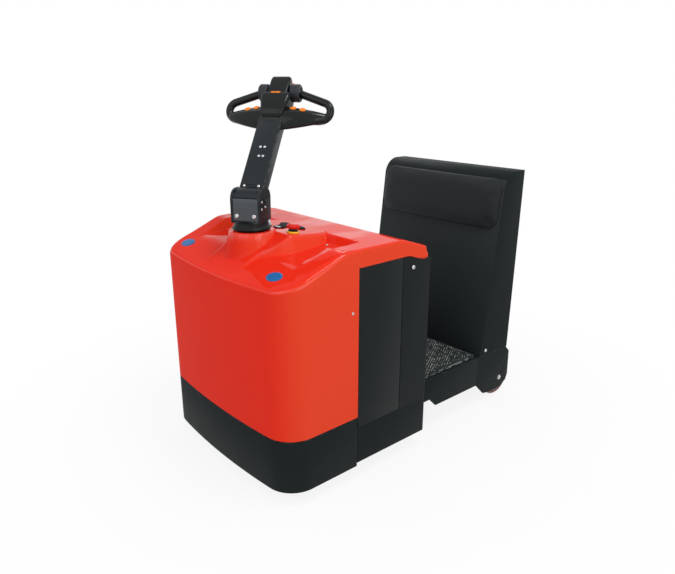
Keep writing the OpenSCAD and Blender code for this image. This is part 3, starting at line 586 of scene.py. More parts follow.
    def grain_cells(self) -> None:
        """Height of pebbled cells, such as embossed vinyl or moulded texture."""
        tree, given, out = self.start("grain_cells", "Height", Scale=500.0)
        cells = tree.nodes.new("ShaderNodeTexVoronoi")
        cells.feature = "SMOOTH_F1"
        tree.links.new(tree.nodes.new("ShaderNodeTexCoord").outputs["Object"], cells.inputs["Vector"])
        tree.links.new(given.outputs["Scale"], cells.inputs["Scale"])
        tree.links.new(self.math(tree, "SUBTRACT", 1.0, cells.outputs["Distance"]), out)

    def grain_brushed(self) -> None:
        """Height of long fine turning marks."""
        tree, given, out = self.start("grain_brushed", "Height", Scale=300.0)
        tree.links.new(self.noise(tree, given.outputs["Scale"], detail=3.0, stretch=self.BRUSH_STRETCH), out)

    def coat_with_painted_reflection(self) -> None:
        """Clear coat weight that paints reflections: full on crests for painted highlight lines, in painted reflection
        streaks on level faces, and weaker on walls.
        """
        tree, given, out = self.start("coat_with_painted_reflection", "Coat", Wall=0.3, Top=1.0)
        up = self.math(tree, "MAXIMUM", self.part(tree, "Normal", "Z"), 0.0)
        level = self.math(tree, "POWER", up, self.LEVEL_POWER, clamp=True)
        noise = self.noise(tree, self.REFLECTION_STREAK_SCALE, detail=1.0, stretch=self.REFLECTION_STREAK_STRETCH)
        ripple = self.math(tree, "SUBTRACT", noise, self.REFLECTION_STREAK_FROM)
        streaked = self.math(tree, "MULTIPLY", ripple, self.REFLECTION_STREAK_GAIN, clamp=True)
        shown = self.math(tree, "MULTIPLY", streaked, 1.0 - self.REFLECTION_STREAK_LEAST)
        streak = self.math(tree, "ADD", shown, self.REFLECTION_STREAK_LEAST)
        most = self.math(tree, "MAXIMUM", self.math(tree, "MULTIPLY", level, streak), self.edge_mark(tree))
        span = self.math(tree, "SUBTRACT", given.outputs["Top"], given.outputs["Wall"])
        rise = self.math(tree, "MULTIPLY", most, span)
        tree.links.new(self.math(tree, "ADD", rise, given.outputs["Wall"]), out)

    def flank_painted_light(self) -> None:
        """Mask of faces that look to either side, which take a lighter colour as painted side light."""
        tree, given, out = self.start("flank_painted_light", "Mask", Amount=1.0)
        across = self.part(tree, "Normal", "X")
        aside = self.math(tree, "MULTIPLY", across, across)
        tree.links.new(self.math(tree, "MULTIPLY", aside, given.outputs["Amount"]), out)

    def place(self, tree: Tree, name: str, **values: float) -> Socket:
        """Puts a group into a material with its own values.

        Args:
            tree: The material's node tree.
            name: Name of the group.
            values: Values of its inputs.

        Returns:
            The group's output.
        """
        node = tree.nodes.new("ShaderNodeGroup")
        node.node_tree = self.groups[name]
        for key, value in values.items():
            node.inputs[key].default_value = value
        return node.outputs[0]


EFFECTS = Effects()


@dataclass(frozen=True)
class Finish:
    """One surface finish: its colour, gloss, relief, wear and dust."""

    name: str
    slot: str
    colour: Colour
    roughness: float
    metallic: float = 0.0
    specular: float = 0.5
    coat: float = 0.0
    painted_reflection_coat: float = 0.0
    coat_roughness: float = 0.03
    painted_side_light: Colour | None = None
    drift: float = 0.10
    drift_scale: float = 7.0
    rough_drift: float = 0.12
    rough_scale: float = 21.0
    grain: Grain = Grain.FINE
    grain_scale: float = 900.0
    grain_depth: float = 0.1
    grain_height: float = 0.0005
    wear: float = 0.25
    wear_colour: Colour = (120, 122, 124)
    dust: float = 0.0
    dust_colour: Colour = (150, 145, 138)

    def material(self) -> bpy.types.Material:
        """Builds the material once.

        Returns:
            The material.
        """
        found = bpy.data.materials.get(self.name)
        if found:
            return found
        made = bpy.data.materials.new(self.name)
        made.use_nodes = True
        tree = made.node_tree
        inputs = tree.nodes["Principled BSDF"].inputs
        inputs["Metallic"].default_value = self.metallic
        inputs["Specular IOR Level"].default_value = self.specular
        inputs["Coat Weight"].default_value = self.coat
        inputs["Coat Roughness"].default_value = self.coat_roughness
        # painted reflection: coat weight rises on level faces, in streaks, and on crests, to paint reflections and
        # highlight lines
        if self.painted_reflection_coat:
            polish = EFFECTS.place(tree, "coat_with_painted_reflection", Wall=self.coat, Top=self.painted_reflection_coat)
            tree.links.new(polish, inputs["Coat Weight"])
        drift = EFFECTS.place(tree, "tone_drift", Scale=self.drift_scale, Amount=self.drift)
        hue = tree.nodes.new("ShaderNodeHueSaturation")
        hue.inputs["Color"].default_value = linear(self.colour)
        tree.links.new(Effects.math(tree, "ADD", drift, 1.0), hue.inputs["Value"])
        colour = hue.outputs["Color"]
        # painted light: faces that look to either side take a lighter colour
        if self.painted_side_light:
            colour = self.over(tree, colour, self.painted_side_light, EFFECTS.place(tree, "flank_painted_light"))
        if self.wear:
            colour = self.over(tree, colour, self.wear_colour, EFFECTS.place(tree, "edge_wear", Amount=self.wear))
        if self.dust:
            colour = self.over(tree, colour, self.dust_colour, EFFECTS.place(tree, "floor_dust", Amount=self.dust))
        tree.links.new(colour, inputs["Base Color"])
        gloss = EFFECTS.place(tree, "tone_drift", Scale=self.rough_scale, Amount=self.rough_drift)
        tree.links.new(Effects.math(tree, "ADD", gloss, self.roughness, clamp=True), inputs["Roughness"])
        bump = tree.nodes.new("ShaderNodeBump")
        bump.inputs["Strength"].default_value = self.grain_depth
        bump.inputs["Distance"].default_value = self.grain_height
        tree.links.new(EFFECTS.place(tree, self.grain.value, Scale=self.grain_scale), bump.inputs["Height"])
        tree.links.new(bump.outputs["Normal"], inputs["Normal"])
        return made

    @staticmethod
    def over(tree: Tree, under: Socket, colour: Colour, mask: Socket) -> Socket:
        """Lays a colour over another by a mask.

        Args:
            tree: The material's node tree.
            under: Colour below.
            colour: Colour above.
            mask: Share of the colour above.

        Returns:
            The mixed colour.
        """
        node = tree.nodes.new("ShaderNodeMix")
        node.data_type = "RGBA"
        tree.links.new(mask, node.inputs["Factor"])
        # a Mix node holds its colours in the sockets 6 and 7, and gives the mixed one as 2
        tree.links.new(under, node.inputs[6])
        node.inputs[7].default_value = linear(colour)
        return node.outputs[2]


# painted side light: the flanks take the lighter colour (222, 66, 38)
RED_GLOSS = Finish(
    "red_gloss", "red_hood", (224, 43, 24), 0.34, painted_side_light=(222, 66, 38), coat=0.14, painted_reflection_coat=1.0, specular=0.0,
    drift=0.05, rough_drift=0.05, grain_scale=260.0, grain_depth=0.03, wear=0.0)
BLACK_POWDER = Finish(
    "black_powder", "black_paint", (26, 32, 33), 0.50, specular=0.045, grain_depth=0.16, wear=0.15, dust=0.02)
# painted light: a lighter black for the backrest's front, which lies in shade
BLACK_PAINTED_LIGHT_FRONT = Finish(
    "black_painted_light_front", "black_paint", (40, 45, 46), 0.55, specular=0.10, grain_depth=0.20, wear=0.10)
BLACK_PANEL = Finish(
    "black_panel", "black_paint", (25, 30, 31), 0.42, specular=0.09, grain_depth=0.10, wear=0.10, dust=0.02)
BLACK_SATIN = Finish(
    "black_satin", "black_paint", (30, 36, 39), 0.36, specular=0.16, grain_depth=0.10, wear=0.15)
# painted reflection: a bluer, far more specular copy of the satin black for the hinge's front plate, so that it reads
# brighter than the cheeks
BLACK_PAINTED_SHEEN = Finish(
    "black_painted_sheen", "black_paint", (31, 41, 48), 0.28, specular=0.80, grain_depth=0.06, wear=0.15)
BLACK_MOULDED = Finish(
    "black_moulded", "black_moulding", (21, 24, 25), 0.36, specular=0.13, grain=Grain.CELLS, grain_scale=1100.0,
    grain_depth=0.06, wear=0.05)
HANDLE_BLACK = Finish(
    "handle_black", "black_moulding", (17, 20, 21), 0.24, specular=0.05, coat=0.34, rough_drift=0.06, grain=Grain.CELLS,
    grain_scale=1100.0, grain_depth=0.02, wear=0.0)
CONSOLE_BLACK = Finish(
    "console_black", "black_moulding", (12, 13, 14), 0.60, specular=0.03, grain_depth=0.10, wear=0.0)
GREY_MOULDED = Finish(
    "grey_moulded", "grey_moulding", (42, 46, 51), 0.42, specular=0.20, grain=Grain.CELLS, grain_scale=1200.0,
    grain_depth=0.10, wear=0.10)
PAD_VINYL = Finish(
    "pad_vinyl_grained", "pad_vinyl", (34, 38, 41), 0.46, specular=0.14, grain=Grain.CELLS, grain_scale=620.0,
    grain_depth=0.20, wear=0.0)
MAT_RUBBER = Finish(
    "mat_rubber_studded", "mat_rubber", (44, 49, 49), 0.70, specular=0.10, grain_depth=0.35, wear=1.0,
    wear_colour=(196, 202, 200), dust=0.06)
POLYURETHANE = Finish(
    "polyurethane_tread", "polyurethane", (112, 48, 34), 0.45, specular=0.25, grain_depth=0.15, wear=0.0, dust=0.30)
CAST_GREY = Finish(
    "cast_iron_grey", "cast_grey", (98, 100, 103), 0.62, metallic=0.35, grain_scale=420.0, grain_depth=0.5, wear=0.3,
    wear_colour=(168, 170, 172), dust=0.2)
BRIGHT_STEEL = Finish(
    "bright_zinc_steel", "bright_steel", (196, 198, 200), 0.28, metallic=1.0, grain=Grain.BRUSHED, grain_scale=420.0,
    grain_depth=0.12, wear=0.0)
STOP_RED = Finish(
    "stop_red", "signal_red", (205, 26, 22), 0.30, specular=0.25, grain_depth=0.05, wear=0.0)
BUTTON_ORANGE = Finish(
    "button_orange", "signal_orange", (238, 128, 26), 0.38, specular=0.25, grain_depth=0.06, wear=0.0)
RING_YELLOW = Finish(
    "ring_yellow", "signal_yellow", (236, 190, 36), 0.40, specular=0.25, grain_depth=0.06, wear=0.0)
SIGN_BLUE = Finish(
    "sign_blue", "black_moulding", (14, 96, 158), 0.30, specular=0.15, drift=0.16, grain_depth=0.04, wear=0.0)
# painted highlight: a pale colour for the strip on the console that stands in for a white highlight
PALE_PAINTED_HIGHLIGHT = Finish(
    "pale_painted_highlight", "grey_moulding", (190, 196, 198), 0.18, specular=0.5, grain_depth=0.02, wear=0.0)
BATTERY_CASE = Finish(
    "battery_case_grey", "battery_case", (58, 62, 68), 0.55, grain_depth=0.2)


def settle(piece: Piece, finish: Finish, body: Body, *nodes: str) -> Piece:
    """Dresses a piece and hangs it on its body.

    Args:
        piece: The piece, in place.
        finish: Its finish.
        body: The body that carries it.
        nodes: Solids that it stands for.

    Returns:
        The piece.
    """
    piece.data.materials.clear()
    piece.data.materials.append(finish.material())
    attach(piece, body.value)
    if nodes:
        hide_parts(*nodes)
    LOG.info("%s: %s on %s, %d faces", piece.name, finish.name, body.value, len(piece.data.polygons))
    return piece


@dataclass
class HoodShell:
    """Moulded red hood, drawn as a height over its plan with walls below, in millimetres."""

    half_w: float = 350.0
    length: float = 598.0
    bow_r: float = 2600.0
    corner_r: float = 95.0
    rear_corner_r: float = 22.0
    seam_z: float = 217.0
    flank_y: float = 290.0
    band_z: float = 698.0
    lip_z: float = 677.0
    lip_from: float = 488.0
    lip_to: float = 572.0
    nose_z: float = 662.0
    nose_slope: float = 0.375
    top_z: float = 752.0
    bend_y: float = 474.0
    lip_slope: float = 0.339
    bend_soft: float = 7.0
    front_r: float = 9.0
    side_r: float = 24.0
    side_r_y: float = 120.0
    side_r_spread: float = 120.0
    side_r_least: float = 0.8
    top_side_r: float = 7.0
    rear_r: float = 29.0
    scoop_z: float = 726.0
    scoop_fall: float = 0.078
    scoop_rear_y: float = 336.0
    scoop_floor_x: float = 262.0
    scoop_steep: float = 1.43
    scoop_soft: float = 6.0
    deck_profile: Outline = ((20.0, 665.4), (209.0, 768.0), (374.0, 753.0), (600.0, 732.5))
    console_side: Outline = ((0.0, 22.0), (87.0, 22.0), (90.0, 122.0), (112.0, 143.0), (124.0, 164.0), (131.0, 190.0),
                             (134.0, 241.0), (132.0, 318.0), (126.0, 352.0), (100.0, 372.0), (0.0, 376.0))
    console_ease: float = 9.0
    console_steep: float = 2.2
    console_soft: float = 4.5
    pedestal_z: float = 772.0
    pedestal_r: float = 70.0
    pedestal_steep: float = 4.5
    pedestal_rim: float = 4.0
    pedestal_soft: float = 5.0
    column_hole_r: float = 47.0
    wall: float = 6.0
    wall_rows: int = 14
    band_rows: int = 4
    hem: float = 0.6
    hem_drop: float = 0.4
    hem_up: float = 14.0
    signs: Sequence[tuple[str, Spot]] = (("right", (236.0, 73.0)), ("left", (-270.0, 79.0)))
    sign_half: Spot = (30.0, 20.0)
    sign_points: int = 48
    # share of a sign's size and height over the skin of each ring
    sign_rings: Outline = ((1.0, -0.4), (1.0, 0.6), (0.97, 1.0), (0.6, 1.0), (0.25, 1.0), (0.02, 1.0))
    crest_reach: float = 4.0
    crest_from: float = 0.45
    crest_span: float = 1.4
    step: float = 3.6
    step_gap: float = 2.0
    corner_step: float = 2.5
    curl_points: int = 9
    weld: float = 0.02
    sharp: float = 50.0

    @property
    def corner(self) -> Spot:
        """Centre of the front corner's arc."""
        x = self.half_w - self.corner_r
        return x, self.bow_r - math.sqrt((self.bow_r - self.corner_r) ** 2 - x * x)

    def front_y(self, x: Array) -> Array:
        """Finds the front edge of the plan.

        Args:
            x: Places across.

        Returns:
            The edge's place along the body.
        """
        cx, cy = self.corner
        ax = np.abs(x)
        bow = self.bow_r - np.sqrt(self.bow_r ** 2 - ax * ax)
        arc = cy - np.sqrt(np.maximum(self.corner_r ** 2 - np.square(ax - cx), 0.0))
        return np.where(ax <= self.bow_r * cx / (self.bow_r - self.corner_r), bow, arc)

    def rear_y(self, x: Array) -> Array:
        """Rear edge of the plan at places across."""
        over = np.maximum(np.abs(x) - (self.half_w - self.rear_corner_r), 0.0)
        return self.length - self.rear_corner_r + np.sqrt(np.maximum(self.rear_corner_r ** 2 - over * over, 0.0))

    def edge_drop(self, x: Array, y: Array) -> Array:
        """Finds how far the surface falls near the plan's outline, where the edges are rounded.

        Args:
            x: Places across.
            y: Places along.

        Returns:
            The fall at each place.
        """
        cx, cy = self.corner
        ax = np.abs(x)
        swell = np.exp(-np.square((y - self.side_r_y) / self.side_r_spread))
        side_r = self.top_side_r + (self.side_r - self.top_side_r) * swell
        side_r = np.where(y < self.side_r_y, np.maximum(side_r, self.side_r * self.side_r_least), side_r)
        side = self.half_w - ax
        front = y - self.bow_r + np.sqrt(self.bow_r ** 2 - ax * ax)
        in_corner = (ax > cx) & (y < cy)
        turn = smooth_step(np.arctan2(ax - cx, np.maximum(cy - y, TINY)) / (math.pi / 2))
        d = np.where(in_corner, self.corner_r - np.hypot(ax - cx, y - cy), np.minimum(side, front))
        straight_r = np.where(side < front, side_r, self.front_r)
        r = np.where(in_corner, self.front_r + (side_r - self.front_r) * turn, straight_r)
        rx, ry = self.half_w - self.rear_corner_r, self.length - self.rear_corner_r
        at_back = (ax > rx) & (y > ry)
        d_back = np.where(at_back, self.rear_corner_r - np.hypot(ax - rx, y - ry), self.length - y)
        return np.maximum(self.round_drop(d, r), self.round_drop(d_back, np.full_like(r, self.rear_r)))

    @staticmethod
    def round_drop(d: Array, r: Array) -> Array:
        """Fall of a quarter round of radius r at distance d from its outer face."""
        inner = np.clip(r - d, 0.0, r)
        return r - np.sqrt(np.maximum(r * r - inner * inner, 0.0))

    def height(self, x: Array, y: Array) -> Array:
        """Finds the height of the hood's skin, before its outer edges are rounded.

        Args:
            x: Places across.
            y: Places along.

        Returns:
            The height at each place.
        """
        nose = self.nose_z + self.nose_slope * y
        lip = self.top_z - self.lip_slope * (y - self.bend_y)
        base = smooth_min(smooth_min(nose, np.full_like(y, self.top_z), self.bend_soft), lip, self.bend_soft)
        floor = self.scoop_z - self.scoop_fall * (self.scoop_rear_y - y)
        outer = floor + (np.abs(x) - self.scoop_floor_x) * self.scoop_steep
        rear = floor + (y - self.scoop_rear_y) * self.scoop_steep
        scoop = smooth_max(smooth_max(floor, outer, self.scoop_soft), rear, self.scoop_soft)
        z = smooth_min(base, scoop, self.scoop_soft)
        plan = [*self.console_side, *[(-px, py) for px, py in self.console_side[-2:0:-1]]]
        deck = np.interp(y, *zip(*self.deck_profile))
        wall = deck + self.console_steep * outline_distance(x, y, eased_outline(plan, self.console_ease))
        z = smooth_max(z, smooth_min(deck, wall, self.console_soft), self.console_soft)
        cone = self.pedestal_z - self.pedestal_steep * (np.hypot(x, y - LAYOUT.steer_y) - self.pedestal_r)
        cone = smooth_min(np.full_like(z, self.pedestal_z), cone, self.pedestal_rim)
        return smooth_max(z, cone, self.pedestal_soft)

    def skin(self, x: Array, y: Array) -> Array:
        """Height of the finished outer skin."""
        return self.height(x, y) - self.edge_drop(x, y)

    def crest(self, x: Array, y: Array) -> Array:
        """Marks the convex edges of the skin.

        Args:
            x: Places across.
            y: Places along.

        Returns:
            The mark at each place, from 0 to 1.
        """
        d = self.crest_reach
        around = self.skin(x + d, y) + self.skin(x - d, y) + self.skin(x, y + d) + self.skin(x, y - d)
        return np.clip((self.skin(x, y) - around / 4 - self.crest_from) / self.crest_span, 0.0, 1.0)

    def columns(self) -> Array:
        """Places the skin's columns, closer together towards the sides.

        Returns:
            Their places across.
        """
        cx = self.corner[0]
        outer = cx + self.corner_r * np.sin(np.radians(np.arange(90.0, 0.0, -self.corner_step)))
        inner = np.linspace(cx, -cx, int(2 * cx / self.step))
        return np.concatenate([outer, inner, -outer[::-1]])

    def grid(self) -> tuple[Array, Array]:
        """Places the skin's points, as rows from front to rear.

        Returns:
            Their places across and along.
        """
        x = self.columns()
        curl = 1.0 - np.sin(np.radians(np.linspace(90.0, 0.0, self.curl_points)))
        mid = self.flank_y - self.corner[1]
        near = np.concatenate([curl * self.front_r,
                               np.arange(self.front_r + self.step_gap, mid - self.step_gap, self.step), [mid]])
        run = self.length - mid
        far = np.concatenate([np.arange(self.step, run - self.rear_r - self.step_gap, self.step),
                              run - (curl * self.rear_r)[::-1]]) / run
        first = self.front_y(x)[None, :] + near[:, None]
        join = first[-1]
        y = np.concatenate([first, join[None, :] + far[:, None] * (self.rear_y(x) - join)[None, :]])
        return np.broadcast_to(x, y.shape), y

    def lower_edge(self, y: Array) -> Array:
        """Lower edge of the band behind the flank, with its soft step down at the rear."""
        t = smooth_step((y - self.lip_from) / (self.lip_to - self.lip_from))
        return self.band_z + (self.lip_z - self.band_z) * t

    def drop_wall(self, draft: Draft, top: Array, low: Array, into: Array, rows: int) -> None:
        """Hangs a wall from the skin's outline and folds its lower edge in.

        Args:
            draft: The hood's mesh.
            top: Points of the outline.
            low: Height of the wall's lower edge at each point.
            into: Direction into the body at each point.
            rows: Rows of faces in the wall.
        """
        levels = []
        for t in np.linspace(0.0, 1.0, rows + 1):
            levels.append(np.column_stack([top[:, :2], top[:, 2] + (low - top[:, 2]) * t]))
        foot = levels[rows]
        for reach, rise in ((self.hem, -self.hem_drop), (self.wall, -self.hem_drop), (self.wall, self.hem_up)):
            levels.append(np.column_stack([foot[:, :2] + into * reach, foot[:, 2] + rise]))
        draft.sheet(np.array(levels))

    def build(self) -> Piece:
        """Draws the hood.

        Returns:
            The hood.
        """
        x, y = self.grid()
        points = np.stack([x, y, self.skin(x, y)], axis=2)
        draft = Draft()
        rows = draft.sheet(points)
        # crest marks raise the hood's coat there, for painted highlight lines
        for verts, marks in zip(rows, self.crest(x, y)):
            for vert, mark in zip(verts, marks):
                draft.mark(vert.link_loops, mark)
        hole = [v for row in rows for v in row if math.hypot(v.co.x, v.co.y - LAYOUT.steer_y) < self.column_hole_r]
        split = int(np.argmin(np.abs(y[:, 0] - self.flank_y)))
        right, left = points[:, 0], points[:, -1]
        around = np.concatenate([right[split::-1], points[0, 1:-1], left[:split + 1]])
        cx, cy = self.corner
        into = inward(around, (-cx, cy), (cx, math.inf))
        self.drop_wall(draft, around, np.full(len(around), self.seam_z), into, self.wall_rows)
        back = np.concatenate([right[split:], points[-1, 1:-1], left[:split - 1:-1]])
        rx, ry = self.half_w - self.rear_corner_r, self.length - self.rear_corner_r
        into = inward(back, (-rx, -math.inf), (rx, ry))
        self.drop_wall(draft, back, self.lower_edge(back[:, 1]), into, self.band_rows)
        fold = ((0.0, 0.0), (self.hem, self.hem_drop), (self.wall, self.hem_drop))
        for side in SIDES:
            draft.sheet(np.array([[(side * (self.half_w - inset), self.flank_y + shift, z)
                                   for z in (self.seam_z, self.band_z)] for inset, shift in fold]))
        bmesh.ops.delete(draft.bm, geom=hole, context="VERTS")
        bmesh.ops.remove_doubles(draft.bm, verts=draft.bm.verts, dist=self.weld)
        return draft.build("hood_shell", sharp=self.sharp)

    def sign(self, label: str, x: float, y: float) -> Piece:
        """Draws one blank oval sign that lies on the skin.

        Args:
            label: Side of the sign.
            x: Its place across.
            y: Its place along.

        Returns:
            The sign.
        """
        turns = round_turn(self.sign_points)
        rim = np.column_stack([x + self.sign_half[0] * np.cos(turns), y + self.sign_half[1] * np.sin(turns)])
        mid = rim.mean(axis=0)
        rings = []
        for share, rise in self.sign_rings:
            p = mid + (rim - mid) * share
            rings.append(np.column_stack([p, self.skin(p[:, 0], p[:, 1]) + rise]))
        draft = Draft()
        draft.bm.faces.new(draft.sheet(np.array(rings), wrap=True)[-1])
        return draft.build(f"oval_sign_{label}")

    def dress(self) -> None:
        """Builds the hood and its signs."""
        settle(self.build(), RED_GLOSS, Body.CHASSIS, "hood")
        for label, (x, y) in self.signs:
            settle(self.sign(label, x, y), SIGN_BLUE, Body.CHASSIS)


@dataclass(frozen=True)
class Screw:
    """Button-head screw with a socket, in millimetres."""

    head_r: float = 7.0
    head_h: float = 3.6
    socket_r: float = 2.9
    socket_h: float = 2.2
    sunk: float = 0.5
    # shares of the head's radius and height
    dome: Outline = ((1.0, 0.3), (0.92, 0.6), (0.7, 0.9))
    # shares of the socket's radius: its outer rim and its floor
    rim: float = 1.25
    floor: float = 0.95
    lead: float = 0.2
    steps: int = 24

    def add(self, draft: Draft, at: Point, direction: Point) -> None:
        """Adds the head to a piece.

        Args:
            draft: The piece's mesh.
            at: Place on a face.
            direction: Direction out of the face.
        """
        r, h, s = self.head_r, self.head_h, self.socket_r
        outline = [(r, -self.sunk), *((r * a, h * b) for a, b in self.dome), (s * self.rim, h), (s, h - self.lead),
                   (s * self.floor, h - self.socket_h), (0.0, h - self.socket_h)]
        draft.lathe(outline, axis_frame(at, direction), self.steps)


PLAIN_SCREW = Screw()
SMALL_SCREW = Screw(4.5, 2.4, 1.8, 1.4)
ScrewRow = tuple[Screw, Point, Point]


@dataclass
class Fasteners:
    """Screws that show on the outside: their kinds, places and directions."""

    flank: Sequence[ScrewRow] = (
        (SMALL_SCREW, (350.0, 266.5, 565.0), (1, 0, 0)), (PLAIN_SCREW, (350.0, 518.7, 658.0), (1, 0, 0)),
        (PLAIN_SCREW, (302.0, 1001.0, 222.6), (1, 0, 0)), (SMALL_SCREW, (161.4, 326.5, 725.2), (0, -0.08, 1)))
    hinge_front: Sequence[Point] = ((-28.0, -43.2, 820.0), (28.0, -43.2, 820.0))
    hinge_x: float = 47.9
    hinge_side: Outline = ((-27.0, 862.0), (-1.0, 843.0), (-29.0, 840.0))
    arm_y: float = -20.0
    arm: Outline = ((-23.5, 38.5), (23.5, 38.5), (-6.0, 183.5), (8.5, 183.5), (-3.0, 149.0), (10.5, 149.0))

    @staticmethod
    def fit(name: str, station: Matrix, body: Body, rows: Iterable[ScrewRow]) -> None:
        """Builds the screws of one body as one piece.

        Args:
            name: Name of the piece.
            station: Matrix of the station in which the places are given.
            body: The body that carries them.
            rows: Kind, place and direction of each screw.
        """
        draft = Draft()
        for screw, at, direction in rows:
            screw.add(draft, at, direction)
        settle(draft.build(name, station), BRIGHT_STEEL, body)

    def dress(self) -> None:
        """Builds the screws of each body."""
        front = (0, -1, 0)
        self.fit("body_screws", LAYOUT.vehicle(), Body.CHASSIS,
                 [(screw, (s * x, y, z), (s * dx, dy, dz)) for s in SIDES
                  for screw, (x, y, z), (dx, dy, dz) in self.flank])
        self.fit("hinge_screws", LAYOUT.steering(), Body.STEERING,
                 [*((PLAIN_SCREW, at, front) for at in self.hinge_front),
                  *((SMALL_SCREW, (s * self.hinge_x, y, z), (s, 0, 0)) for y, z in self.hinge_side for s in SIDES)])
        self.fit("arm_screws", LAYOUT.tiller(), Body.TILLER,
                 [(SMALL_SCREW, (x, self.arm_y, z), front) for x, z in self.arm])


@dataclass
class PlatformMat:
    """Rubber mat with small round studs, in millimetres."""

    half_w: float = 288.0
    front_y: float = 612.0
    rear_y: float = 954.0
    low_z: float = 205.0
    high_z: float = 211.4
    corner_r: float = 12.0
    rim: float = 1.5
    pitch: float = 10.0
    row_share: float = 0.866
    margin: float = 9.0
    stud_r: float = 3.2
    stud_top: float = 0.7
    stud_h: float = 1.6
    stud_sunk: float = 0.2
    stud_points: int = 8
    sharp: float = 30.0

    def dress(self) -> None:
        """Builds the mat and its studs, each row set off by half a pitch."""
        draft = Draft()
        plan = rounded_rect(2 * self.half_w, self.rear_y - self.front_y, self.corner_r)
        mid = Matrix.Translation((0, (self.front_y + self.rear_y) / 2, 0))
        draft.prism(plan, self.low_z, self.high_z, mid, self.rim)
        reach = self.half_w - self.margin
        across = np.arange(-reach, reach, self.pitch)
        along = np.arange(self.front_y + self.margin, self.rear_y - self.margin, self.pitch * self.row_share)
        for k, y in enumerate(along):
            for x in across + (self.pitch / 2 if k % 2 else 0.0):
                if abs(x) < self.half_w - self.margin / 2:
                    self.stud(draft, x, y)
        mat = draft.build("mat_studded", sharp=self.sharp, outward=False)
        settle(mat, MAT_RUBBER, Body.CHASSIS, "platform_mat")

    def stud(self, draft: Draft, x: float, y: float) -> None:
        """Adds one stud with a flat worn top.

        Args:
            draft: The mat's mesh.
            x: Place across.
            y: Place along.
        """
        sizes = ((self.stud_r, self.high_z - self.stud_sunk), (self.stud_r * self.stud_top, self.high_z + self.stud_h))
        foot, top = [[draft.bm.verts.new((x + r * math.cos(a), y + r * math.sin(a), z))
                      for a in round_turn(self.stud_points)] for r, z in sizes]
        for j in range(self.stud_points):
            draft.bm.faces.new((foot[j - 1], foot[j], top[j], top[j - 1]))
        draft.mark(draft.bm.faces.new(top).loops, 1.0)


